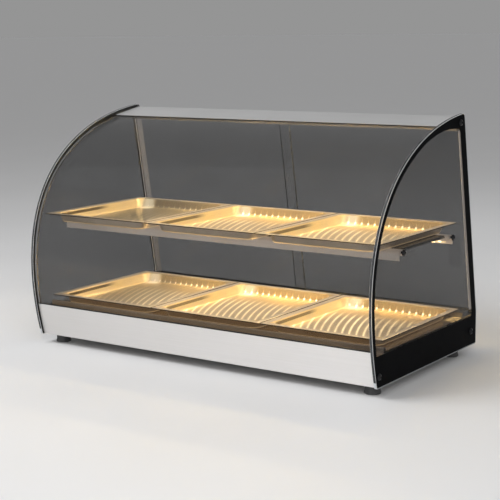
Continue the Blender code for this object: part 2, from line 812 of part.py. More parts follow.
def switch(name, x):
    """A rocker switch body, snapped into the panel, with a pocket for its rocker."""
    bezel_front = PANEL_OUTER_Y + 0.0022
    outer = rectangle((0, 0), 0.024, 0.033)
    bezel = as_mesh(
        outline_solid(
            name, black_plastic(), [outer], PANEL_OUTER_Y + GAP, bezel_front, "Y", (x, 0, CONTROL_Z)
        )
    )
    body_size = (SWITCH_CUTOUT[0] - 0.001, 0.026, SWITCH_CUTOUT[1] - 0.001)
    body = box(f"{name}_body", black_plastic(), body_size, (x, PANEL_OUTER_Y - 0.012, CONTROL_Z))
    combine(bezel, body, "UNION")
    pocket_size = (0.0165, 0.012, 0.0255)
    pocket_y = bezel_front + 0.001 - pocket_size[1] / 2
    pocket = box(f"{name}_pocket", black_plastic(), pocket_size, (x, pocket_y, CONTROL_Z))
    combine(bezel, pocket, "DIFFERENCE")


def rocker(name, x, mat):
    """A rocker whose ends are arcs about its own pivot, so that it turns clear of its pocket."""
    radius, back, dip, crest = 0.0122, 0.0035, 0.0035, 0.0070

    def on_arc(y, sign):
        return Vector((y, sign * math.sqrt(radius**2 - y**2)))

    # (y, z) about the pivot: the flat back, round one end, the dished face, round the other end
    outline = [on_arc(-back, -1), on_arc(crest * 0.3, -1), on_arc(crest, -1), Vector((dip, 0.0))]
    outline += [on_arc(crest, 1), on_arc(crest * 0.3, 1), on_arc(-back, 1)]
    turn = Matrix.Rotation(ROCKER_TILT, 2)
    outline = [turn @ point for point in outline]
    piece = outline_solid(name, mat, [outline], x - 0.0078, x + 0.0078, "X", (0, ROCKER_Y, CONTROL_Z))
    return piece


def pilot_lamp():
    profile = [
        (0.0, 0.0050),
        (0.0030, 0.0042),
        (0.0050, 0.0020),
        (0.0064, 0.0012),
        (0.0064, GAP),
        (0.0049, GAP),
        (0.0049, -0.018),
        (0.0, -0.018),
    ]
    lens = material("pilot_lens", (0.85, 0.12, 0.02), 0.15, glow=0.6)
    lamp = turned("pilot_lamp", lens, profile, (LAMP_X, PANEL_OUTER_Y, CONTROL_Z), ALONG_Y, 20)
    smooth(lamp)


def cord_gland():
    """The gland that the supply cord enters by: a flange outside, a nut inside and an open bore."""
    bore = 0.0045
    profile = [
        (bore, 0.018),
        (0.0072, 0.018),
        (0.0098, 0.014),
        (0.0120, 0.006),
        (0.0120, GAP),
        (0.0078, GAP),
        (0.0078, -PANEL_THICK - GAP),
        (0.0115, -PANEL_THICK - GAP),
        (0.0115, -PANEL_THICK - 0.006),
        (bore, -PANEL_THICK - 0.006),
    ]
    gland = turned(
        "cord_gland", black_plastic(), profile, (GLAND_X, PANEL_OUTER_Y, CONTROL_Z), ALONG_Y, 24, True
    )
    smooth(gland)


def controls():
    thermostat()
    thermostat_knob()
    switch("power_switch", POWER_X)
    switch("light_switch", LIGHT_X)
    rocker("power_rocker", POWER_X, material("power_rocker_red", (0.55, 0.02, 0.02), 0.3))
    rocker("light_rocker", LIGHT_X, material("light_rocker_green", (0.03, 0.30, 0.08), 0.3))
    pilot_lamp()
    cord_gland()


# Inside the base


ELEMENT_Z = 0.058
ELEMENT_RADIUS = 0.004
BRACKET_X = 0.250
PAD_TOP = 0.034


def half_turn(x, y0, y1, way, segments=8):
    """Points of a half circle in plan, bulging towards way, from y0 to y1."""
    radius, middle = abs(y1 - y0) / 2, (y0 + y1) / 2
    start = math.copysign(math.pi / 2, y0 - y1)
    angles = [start * (1 - 2 * k / segments) for k in range(segments + 1)]
    return [(x + way * radius * math.cos(a), middle + radius * math.sin(a), ELEMENT_Z) for a in angles]


def heating_element():
    """A tubular element in three passes under the deck."""
    reach, rows = 0.330, (0.045, -0.035, -0.115)
    points = [(-0.372, rows[0], ELEMENT_Z)]
    points += half_turn(reach, rows[0], rows[1], 1)
    points += half_turn(-reach, rows[1], rows[2], -1)
    points.append((0.372, rows[2], ELEMENT_Z))
    tube("heating_element", black_steel(), points, ELEMENT_RADIUS)


def element_brackets():
    low_y, high_y, top = -0.135, 0.065, ELEMENT_Z - ELEMENT_RADIUS - GAP
    path = [
        (low_y - 0.012, PAD_TOP + GAP + SHEET),
        (low_y, PAD_TOP + GAP + SHEET),
        (low_y, top),
        (high_y, top),
        (high_y, PAD_TOP + GAP + SHEET),
        (high_y + 0.012, PAD_TOP + GAP + SHEET),
    ]
    for side, sign in (("left", -1), ("right", 1)):
        x = sign * BRACKET_X
        outline_solid(
            f"element_bracket_{side}", stainless(), [folded(path, SHEET)], x - 0.010, x + 0.010
        )


def curve_through(points, steps=5):
    """A smooth run of points through a few chosen ones (Catmull-Rom)."""
    points = [Vector(p) for p in points]
    ends = [2 * points[0] - points[1], *points, 2 * points[-1] - points[-2]]
    run = []
    for a, b, c, d in zip(ends, ends[1:], ends[2:], ends[3:]):
        for k in range(steps):
            t = k / steps
            run.append(
                0.5
                * (2 * b + (c - a) * t + (2 * a - 5 * b + 4 * c - d) * t**2 + (3 * b - a - 3 * c + d) * t**3)
            )
    return run + [points[-1]]


def thermostat_bulb():
    """The sensing bulb under the deck and the capillary that joins it to the thermostat."""
    bulb_y, bulb_z = 0.080, 0.0745
    route = [
        (KNOB_X, PANEL_Y - 0.033, CONTROL_Z),
        (KNOB_X + 0.010, 0.150, CONTROL_Z + 0.004),
        (KNOB_X + 0.040, 0.115, 0.066),
        (KNOB_X + 0.075, bulb_y + 0.004, bulb_z),
        (KNOB_X + 0.100, bulb_y, bulb_z),
    ]
    capillary = curve_through(route)
    bulb_start = KNOB_X + 0.102
    bulb = [(bulb_start + reach, bulb_y, bulb_z) for reach in (0.0, 0.002, 0.086, 0.088)]
    radii = [1.0] * len(capillary) + [2.4, 4.5, 4.5, 2.4]
    steel = material("bulb_copper", (0.75, 0.42, 0.28), 0.3, 1.0)
    tube("thermostat_bulb", steel, capillary + bulb, 0.0010, 1, radii)


def electrics():
    """Power supply for the lights, terminal block and the wiring between them."""
    floor = BASE_Z + GAP + SHEET + GAP
    grey = material("driver_white", (0.80, 0.80, 0.78), 0.45)
    driver_size = (0.150, 0.044, 0.028)
    driver = box("led_driver", grey, driver_size, (0.060, 0.140, floor + driver_size[2] / 2))
    bevelled(driver, 0.002)
    block_size = (0.050, 0.022, 0.020)
    cream = material("terminal_cream", (0.78, 0.74, 0.62), 0.5)
    block_x, block_y = 0.300, 0.140
    block = box("terminal_block", cream, block_size, (block_x, block_y, floor + block_size[2] / 2))
    for k in range(4):
        place = (block_x + (k - 1.5) * 0.012, block_y, floor + block_size[2])
        combine(block, rod(0.003, 0.008, place, "Z", f"terminal_screw_{k}", cream, 10), "DIFFERENCE")
    route = [
        (block_x - 0.027, block_y, floor + 0.010),
        (0.245, 0.145, floor + 0.012),
        (0.200, 0.180, 0.044),
        (0.050, 0.186, 0.060),
        (-0.090, 0.172, 0.060),
        (-0.170, 0.162, 0.042),
        (-0.240, 0.162, 0.033),
        (-0.290, 0.172, 0.033),
    ]
    tube("wire_loom", black_plastic(), curve_through(route, 4), 0.0028)


def insulation_pad():
    wool = material("insulation_wool", (0.72, 0.68, 0.55), 0.95)
    low = BASE_Z + GAP + SHEET + GAP
    pad = box("insulation_pad", wool, (0.790, 0.280, PAD_TOP - low), (0, -0.050, (PAD_TOP + low) / 2))
    bevelled(pad, 0.002)


def main():
    global collection
    for old in list(bpy.data.objects):
        bpy.data.objects.remove(old)
    collection = bpy.data.collections.new("food_holding_cabinet")
    cutters = bpy.data.collections.new("cutters")
    for made in (collection, cutters):
        bpy.context.scene.collection.children.link(made)
    side_glasses()
    front_glass()
    lower_glass_seal()
    upper_glass_seal()
    base_tray()
    front_fascia()
    deck()
    rear_panel()
    top_plate()
    feet()
    door_track_lower()
    door_track_upper()
    rear_posts()
    doors()
    shelf_rail("shelf_rail_front", RAIL_FRONT_Y, 1)
    shelf_rail("shelf_rail_rear", RAIL_REAR_Y, -1)
    shelf_plate()
    light_bars()
    pans()
    bolts()
    controls()
    heating_element()
    element_brackets()
    thermostat_bulb()
    electrics()
    insulation_pad()


main()
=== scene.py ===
"""Looks of the countertop heated display cabinet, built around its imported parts.

Metres, +Z up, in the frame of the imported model: the curved front faces -Y and the controls face +Y.
"""

import math

import bmesh
import bpy
from mathutils import Matrix, Vector


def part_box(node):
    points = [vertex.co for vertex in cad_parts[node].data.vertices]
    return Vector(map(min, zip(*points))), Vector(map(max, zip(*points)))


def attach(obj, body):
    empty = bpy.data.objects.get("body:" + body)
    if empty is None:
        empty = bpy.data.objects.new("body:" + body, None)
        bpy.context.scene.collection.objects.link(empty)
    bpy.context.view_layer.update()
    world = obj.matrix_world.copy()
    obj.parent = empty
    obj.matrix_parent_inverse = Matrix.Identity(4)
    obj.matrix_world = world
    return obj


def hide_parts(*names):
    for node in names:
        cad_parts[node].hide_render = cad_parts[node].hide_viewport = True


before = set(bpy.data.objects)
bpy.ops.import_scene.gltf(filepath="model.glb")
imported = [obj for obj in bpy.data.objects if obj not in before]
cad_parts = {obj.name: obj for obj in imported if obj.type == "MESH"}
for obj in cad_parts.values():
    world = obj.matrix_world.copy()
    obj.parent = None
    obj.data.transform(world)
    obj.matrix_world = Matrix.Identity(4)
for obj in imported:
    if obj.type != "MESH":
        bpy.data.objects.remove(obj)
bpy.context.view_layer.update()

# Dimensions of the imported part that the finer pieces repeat
OUTER_X = 0.419  # outer faces of the side glasses
SIDE_GLASS = 0.006
INNER_X = OUTER_X - SIDE_GLASS
HALF = 0.4127  # half the length of what fits between the side glasses
BASE_Z = 0.0203
CURVE = [Vector(p) for p in ((-0.2145, 0.020), (-0.3161, 0.3992), (-0.0366, 0.4867), (0.1256, 0.5026))]
KINK = Vector((0.2086, 0.0882))
LEAN_TOP = Vector((0.1375, 0.5046))
LEAN = math.atan2(KINK.x - LEAN_TOP.x, LEAN_TOP.y - KINK.y)
FRONT_GLASS = 0.004
GLASS_INSET = 0.011
DECK_TOP = 0.0837
PANEL_FACE_Y = 0.2078
CONTROL_Z = 0.054
KNOB_X = -0.215
DOOR_N = {"left": -0.0225, "right": -0.0125}  # middles of the door panes, out from the leaning rear edge
PAN_SIZE = (0.272, 0.323)
LIGHT_HALF = 0.400
# the lamps' spacing and that of the streaks they throw, and where each row starts, in spacings
LED_PITCH, LED_PHASE = 0.0155, 20.26
STREAK_PITCH, STREAK_PHASE = 0.016, 20.475

WARM = (1.0, 0.74, 0.34)  # the light bars' colour, linear

SIDES = (("left", -1), ("right", 1))


def span(sign, a, b):
    """The lower and higher of two distances out to one side."""
    return sorted((sign * a, sign * b))


# Curves and outlines


def on_curve(t, inset=0.0):
    """The point (y, z) at t on the front curve, moved inward by inset."""
    a, b, c, d = CURVE
    s = 1 - t
    point = s**3 * a + 3 * s * s * t * b + 3 * s * t * t * c + t**3 * d
    way = (3 * s * s * (b - a) + 6 * s * t * (c - b) + 3 * t * t * (d - c)).normalized()
    return point + inset * Vector((way.y, -way.x))


def curve_t(inset, axis, value):
    """Where the inset curve reaches a height (axis 1), or a y on its upper half (axis 0)."""
    low, high = (0.0, 1.0) if axis == 1 else (0.5, 1.0)
    for _ in range(40):
        middle = (low + high) / 2
        if on_curve(middle, inset)[axis] < value:
            low = middle
        else:
            high = middle
    return low


def stretch(inset, start, end, count):
    t0, t1 = curve_t(inset, *start), curve_t(inset, *end)
    return [on_curve(t0 + (t1 - t0) * k / (count - 1), inset) for k in range(count)]


def lean(n, u):
    """World (y, z) of a point n out from the leaning rear edge and u up along it."""
    out = Vector((math.cos(LEAN), math.sin(LEAN)))
    up = Vector((-math.sin(LEAN), math.cos(LEAN)))
    return KINK + n * out + u * up


def fillet(before, corner, after, radius, segments=5):
    """The arc that rounds one corner of an outline."""
    to_before = (before - corner).normalized()
    to_after = (after - corner).normalized()
    half = to_before.angle(to_after) / 2
    centre = corner + (to_before + to_after).normalized() * radius / math.sin(half)
    start = corner + to_before * radius / math.tan(half) - centre
    end = corner + to_after * radius / math.tan(half) - centre
    first = math.atan2(start.y, start.x)
    sweep = (math.atan2(end.y, end.x) - first + math.pi) % (2 * math.pi) - math.pi
    angles = [first + sweep * k / segments for k in range(segments + 1)]
    return [centre + radius * Vector((math.cos(a), math.sin(a))) for a in angles]


def rounded(corners, radius, segments=5):
    corners = [Vector(c) for c in corners]
    points = []
    for i, corner in enumerate(corners):
        points += fillet(corners[i - 1], corner, corners[(i + 1) % len(corners)], radius, segments)
    return points


def rectangle(half_x, half_y, centre=(0, 0)):
    x, y = centre
    return [Vector((x + sx * half_x, y + sy * half_y)) for sx, sy in ((-1, -1), (1, -1), (1, 1), (-1, 1))]


def circle(centre, radius, segments=24):
    angles = [2 * math.pi * k / segments for k in range(segments)]
    return [Vector(centre) + radius * Vector((math.cos(a), math.sin(a))) for a in angles]


def bent(path, radius, segments=4):
    """A path with its inner corners rounded."""
    path = [Vector(p) for p in path]
    points = [path[0]]
    for before, corner, after in zip(path, path[1:], path[2:]):
        points += fillet(before, corner, after, radius, segments)
    return points + [path[-1]]


def shifted(path, distance, closed=False):
    """The path moved to its right by a distance."""
    moved = []
    for i, point in enumerate(path):
        ways = []
        if i > 0 or closed:
            ways.append((point - path[i - 1]).normalized())
        if i < len(path) - 1 or closed:
            ways.append((path[(i + 1) % len(path)] - point).normalized())
        normals = [Vector((way.y, -way.x)) for way in ways]
        middle = sum(normals, Vector((0.0, 0.0))).normalized()
        moved.append(point + middle * distance / max(middle.dot(normals[0]), 0.3))
    return moved


def folded(path, thickness):
    return path + shifted(path, thickness)[::-1]


# Mesh helpers


def linked(name, data):
    made = bpy.data.objects.new(name, data)
    bpy.context.scene.collection.objects.link(made)
    return made


def place(mesh, material, replaces=None, body="cabinet", location=(0, 0, 0), name=None):
    """Makes a mesh a piece of the object, named as its mesh unless a name is given."""
    piece = linked(name or mesh.name, mesh)
    piece.location = location
    for each in material if isinstance(material, tuple) else (material,):
        mesh.materials.append(each)
    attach(piece, body)
    if replaces:
        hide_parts(replaces)
    return piece


def mesh_from(work, name, angle=40):
    mesh = bpy.data.meshes.new(name)
    bmesh.ops.recalc_face_normals(work, faces=work.faces)
    work.to_mesh(mesh)
    work.free()
    mesh.shade_smooth()
    mesh.set_sharp_from_angle(angle=math.radians(angle))
    return mesh


def centre_of(node):
    low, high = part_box(node)
    return (low + high) / 2


def bevel(piece, width, segments):
    modifier = piece.modifiers.new("Edges", "BEVEL")
    modifier.width = width
    modifier.segments = segments
    modifier.limit_method = "ANGLE"
    modifier.angle_limit = math.radians(40)
    modifier.harden_normals = True


def bridge(work, rings, caps=True):
    """Walls from each ring of vertices to the next, and a cap on the first and the last."""
    for a, b in zip(rings, rings[1:]):
        for i in range(max(len(a), len(b))):
            corners = [a[i % len(a)], a[(i + 1) % len(a)], b[(i + 1) % len(b)], b[i % len(b)]]
            work.faces.new(list(dict.fromkeys(corners)))
    for ring in (rings[0], rings[-1]):
        if caps and len(ring) > 2:
            work.faces.new(ring)


def loft(name, rings, angle=40, axis="Z"):
    """A mesh skinned over rings of points, and turned to an axis."""
    work = bmesh.new()
    bridge(work, [[work.verts.new(p) for p in ring] for ring in rings])
    turn(work, axis)
    return mesh_from(work, name, angle)


def ring_of(radius, height, segments, cut=lambda k: 0.0):
    """A circle of points, each drawn in by what cut gives for its number. With no radius it is one point."""
    if radius == 0:
        return [(0, 0, height)]
    steps = [(2 * math.pi * k / segments, radius - cut(k)) for k in range(segments)]
    return [(r * math.cos(a), r * math.sin(a), height) for a, r in steps]


def prism_mesh(name, outline, low, high, axis="X"):
    """An outline carried along an axis. Along X its points are (y, z), along Y (x, z), along Z (x, y)."""
    order = {"X": lambda p, s: (s, p[0], p[1]), "Y": lambda p, s: (p[0], s, p[1]), "Z": lambda p, s: (*p, s)}
    return loft(name, [[order[axis](p, s) for p in outline] for s in (low, high)])


def turn(work, axis):
    """Turns what points along +Z to a named axis."""
    turns = {
        "X": Matrix.Rotation(math.pi / 2, 4, "Y"),
        "-X": Matrix.Rotation(-math.pi / 2, 4, "Y"),
        "Y": Matrix.Rotation(-math.pi / 2, 4, "X"),
    }
    if axis in turns:
        bmesh.ops.transform(work, matrix=turns[axis], verts=work.verts)


def filled_mesh(name, outlines, low, high):
    """A flat plate with holes, in the (y, z) plane, from low to high along X."""
    data = bpy.data.curves.new(name, "CURVE")
    data.dimensions = "2D"
    data.fill_mode = "BOTH"
    data.extrude = (high - low) / 2
    for points in outlines:
        spline = data.splines.new("POLY")
        spline.points.add(len(points) - 1)
        for target, (across, up) in zip(spline.points, points):
            target.co = (across, up, 0.0, 1.0)
        spline.use_cyclic_u = True
    carrier = linked(name, data)
    bpy.context.view_layer.update()
    evaluated = carrier.evaluated_get(bpy.context.evaluated_depsgraph_get())
    mesh = bpy.data.meshes.new_from_object(evaluated)
    bpy.data.objects.remove(carrier)
    work = bmesh.new()
    work.from_mesh(mesh)
    bmesh.ops.remove_doubles(work, verts=work.verts, dist=0.00001)
    stand = Matrix.Rotation(math.pi / 2, 4, "Z") @ Matrix.Rotation(math.pi / 2, 4, "X")
    bmesh.ops.transform(work, matrix=Matrix.Translation(((low + high) / 2, 0, 0)) @ stand, verts=work.verts)
    return mesh_from(work, name)


# Materials


class Shader:
    """A Principled material with short calls for its nodes."""

    def __init__(self, name, **sockets):
        self.material = bpy.data.materials.new(name)
        self.material.use_nodes = True
        self.tree = self.material.node_tree
        self.bsdf = self.tree.nodes["Principled BSDF"]
        for key, value in sockets.items():
            self.set(key.replace("_", " ").title().replace("Ior", "IOR"), value)
        self.position = self.node("ShaderNodeTexCoord").outputs["Object"]

    def feed(self, socket, value):
        """Links or sets an input. A colour is given without its alpha."""
        if isinstance(value, bpy.types.NodeSocket):
            self.tree.links.new(value, socket)
        else:
            socket.default_value = (*value, 1.0) if socket.type == "RGBA" else value

    def set(self, key, value):
        self.feed(self.bsdf.inputs[key], value)

    def node(self, kind, inputs=None, **settings):
        made = self.tree.nodes.new(kind)
        for key, value in settings.items():
            setattr(made, key, value)
        for key, value in (inputs or {}).items():
            self.feed(made.inputs[key], value)
        return made

    def math(self, operation, a, b=0.0):
        return self.node("ShaderNodeMath", {0: a, 1: b}, operation=operation).outputs[0]

    def chain(self, operation, first, *others):
        for other in others:
            first = self.math(operation, first, other)
        return first

    def times(self, *factors):
        return self.chain("MULTIPLY", *factors)

    def plus(self, *terms):
        return self.chain("ADD", *terms)

    def away(self, value, centre):
        """How far a value is from a centre."""
        return self.math("ABSOLUTE", self.math("SUBTRACT", value, centre))

    def noise(self, scale, detail=3.0, roughness=0.5):
        """Noise, with one scale for all three ways or one for each."""
        where = self.position
        if isinstance(scale, tuple):
            where = self.node("ShaderNodeMapping", {"Vector": where, "Scale": scale}).outputs[0]
            scale = 1.0
        inputs = {"Vector": where, "Scale": scale, "Detail": detail, "Roughness": roughness}
        return self.node("ShaderNodeTexNoise", inputs).outputs["Fac"]

    def fit(self, value, from_low, from_high, to_low, to_high, smooth=False):
        inputs = {
            "Value": value, "From Min": from_low, "From Max": from_high, "To Min": to_low, "To Max": to_high
        }
        kind = "SMOOTHSTEP" if smooth else "LINEAR"
        return self.node("ShaderNodeMapRange", inputs, interpolation_type=kind).outputs[0]

    def spread(self, noise, to_low, to_high):
        """What a noise's middle range gives, spread over a range."""
        return self.fit(noise, 0.3, 0.7, to_low, to_high)

    def blend(self, factor, at_none, at_full):
        return self.fit(factor, 0.0, 1.0, at_none, at_full)

    def rise(self, value, low, high):
        return self.fit(value, low, high, 0.0, 1.0, True)

    def fall(self, value, low, high):
        return self.fit(value, low, high, 1.0, 0.0, True)

    def wave(self, along, pitch, offset, flat, reach):
        """1 at each lamp, falling smoothly to 0 from flat to reach, in pitches, on either side."""
        phase = self.math("FRACT", self.plus(self.math("DIVIDE", along, pitch), offset))
        return self.fall(self.away(phase, 0.5), flat, reach)

    def tone(self, noise, dark, light):
        """The colour between two that a noise's middle range gives."""
        return self.mix(self.spread(noise, 0, 1), dark, light)

    def mix(self, factor, a, b):
        return self.node("ShaderNodeMix", {0: factor, 6: a, 7: b}, data_type="RGBA").outputs[2]

    def emit(self, colour, strength):
        self.set("Emission Color", colour)
        self.set("Emission Strength", strength)

    def bump(self, height, strength, distance):
        inputs = {"Height": height, "Strength": strength, "Distance": distance}
        self.set("Normal", self.node("ShaderNodeBump", inputs).outputs[0])

    def axes(self):
        return self.node("ShaderNodeSeparateXYZ", {0: self.position}).outputs


def brushed_shader(
    name, light, dark, roughness=0.30, grain=(5, 420, 420), metallic=1.0, bump=0.12, sheen_x=None, glow=0.0
):
    """Brushed metal: fine streaks along the grain, broad cloudy wear and a few faint smears.

    sheen_x, a pair of x values, paints shade that makes it up to a quarter darker toward the first. glow is
    painted amber light, standing in for what a piece beside a light bar scatters back.
    """
    s = Shader(name, metallic=metallic)
    streak = s.noise(grain, 4.0, 0.6)
    fine = s.noise(tuple(g * 4.5 for g in grain), 2.0)
    cloud = s.noise(9.0, 3.0, 0.6)
    tone = s.fit(s.plus(s.times(streak, 0.7), s.times(cloud, 0.5)), 0.35, 0.85, 0, 1)
    colour = s.mix(tone, dark, light)
    # painted shade: up to a quarter darker toward the first of the two x values
    if sheen_x:
        colour = s.mix(s.fit(s.axes()[0], *sheen_x, 0.28, 0.0), colour, (0.20, 0.195, 0.185))
    s.set("Base Color", colour)
    rough = s.plus(s.spread(streak, -0.05, 0.06), s.spread(cloud, -0.03, 0.04))
    s.set("Roughness", s.plus(rough, roughness))
    s.bump(s.plus(s.times(streak, 0.6), s.times(fine, 0.4)), bump, 0.0002)
    # painted amber glow, given out as emission, for light scattered back from a light bar
    if glow:
        s.emit(s.mix(tone, (1.0, 0.84, 0.70), (1.0, 0.90, 0.82)), s.spread(cloud, glow * 0.8, glow * 1.1))
    return s


def brushed(*values, **named):
    return brushed_shader(*values, **named).material


def deck_metal():
    """Deck steel, tan as painted light from the bar, with a painted highlight for the light bar's gleam in
    its rear right corner and a faint painted glow along its front.
    """
    # painted light: the steel's base colour is tan
    s = brushed_shader("stainless_deck", (0.88, 0.71, 0.55), (0.66, 0.52, 0.40), 0.20, metallic=0.5)
    x, y, _ = s.axes()
    ripple = s.noise((60, 90, 60), 2.0)
    # painted highlight: the light bar's gleam in the rear right corner
    gleam = s.times(s.rise(x, 0.385, 0.400), s.rise(y, 0.095, 0.125))
    gleam = s.times(gleam, s.fit(ripple, 0.40, 0.62, 0.2, 1.6))
    # painted glow along the deck's front
    front = s.times(s.fit(y, -0.20, -0.15, 0.05, 0.006, True), s.fall(x, 0.28, 0.38))
    s.emit((1.0, 0.66, 0.25), s.plus(gleam, front))
    return s.material


def pan_outside():
    """Outside of a pan, with a faint painted amber glow all over and a brighter painted highlight line where
    its wall turns under.
    """
    s = brushed_shader("pan_outside", (0.70, 0.63, 0.54), (0.50, 0.44, 0.37), 0.30, (900, 14, 900))
    # painted highlight line where the wall turns under
    line = s.fall(s.away(s.axes()[2], -0.0172), 0.0, 0.0016)
    s.emit((1.0, 0.68, 0.34), s.blend(line, 0.07, 0.6))
    return s.material


def moulded(name, light, dark, roughness=0.5, grain=900.0, bump=0.25, **sockets):
    """Moulded plastic or rubber: a fine pebbled skin, slight mottling and dusty patches."""
    s = Shader(name, **sockets)
    mottle = s.noise(28.0, 4.0, 0.6)
    s.set("Base Color", s.tone(mottle, dark, light))
    s.set("Roughness", s.plus(s.spread(mottle, -0.06, 0.08), roughness))
    s.bump(s.noise(grain, 2.0), bump, 0.0003)
    return s.material


def grey(value):
    return (value, value, value)


def glass(name, tint, deep, clear_to=None, foot=1.0, gloss=0.05):
    """Float glass with a grey cast and a thin anti-glare coat. It has faint wiping marks.

    foot scales the cast at the pane's foot, so that the pane is darker there than at its top.

    clear_to is the x up to which the film that gives the cast is cut back from the pane's meeting edge.
    """
    s = Shader(name, transmission_weight=1.0, roughness=0.0, ior=1.15)
    s.set("Specular IOR Level", gloss)
    marks = s.noise((6, 14, 5), 4.0, 0.6)
    cast = s.mix(s.fit(marks, 0.35, 0.75, 0, 1), tint, deep)
    if foot < 1:
        cast = s.mix(s.fit(s.axes()[2], 0.08, 0.40, 1.0 - foot, 0.0, True), cast, grey(0.0))
    if clear_to:
        filmed = s.math("GREATER_THAN", s.axes()[0], clear_to)
        cast = s.mix(filmed, grey(0.97), cast)
    s.set("Base Color", cast)
    clear = s.node("ShaderNodeBsdfTransparent", {0: tint}).outputs[0]
    shadow = s.node("ShaderNodeLightPath").outputs["Is Shadow Ray"]
    both = s.node("ShaderNodeMixShader", {0: shadow, 1: s.bsdf.outputs[0], 2: clear})
    s.feed(s.tree.nodes["Material Output"].inputs["Surface"], both.outputs[0])
    return s.material


def glass_edge(name, light, dark, roughness):
    """The ground edge of a pane: satin, greyish, with fine grinding lines."""
    s = Shader(name, transmission_weight=0.35, ior=1.47)
    lines = s.noise((500, 30, 30), 3.0)
    s.set("Base Color", s.tone(lines, dark, light))
    s.set("Roughness", s.spread(lines, roughness - 0.06, roughness + 0.08))
    return s.material


def frit(name, light, dark, roughness, specular):
    """Ceramic print, a little uneven where it was screened."""
    s = Shader(name, roughness=roughness)
    s.set("Specular IOR Level", specular)
    cloud = s.noise(16.0, 3.0)
    s.set("Base Color", s.tone(cloud, dark, light))
    s.bump(s.noise(1400.0, 2.0), 0.08, 0.0001)
    return s.material


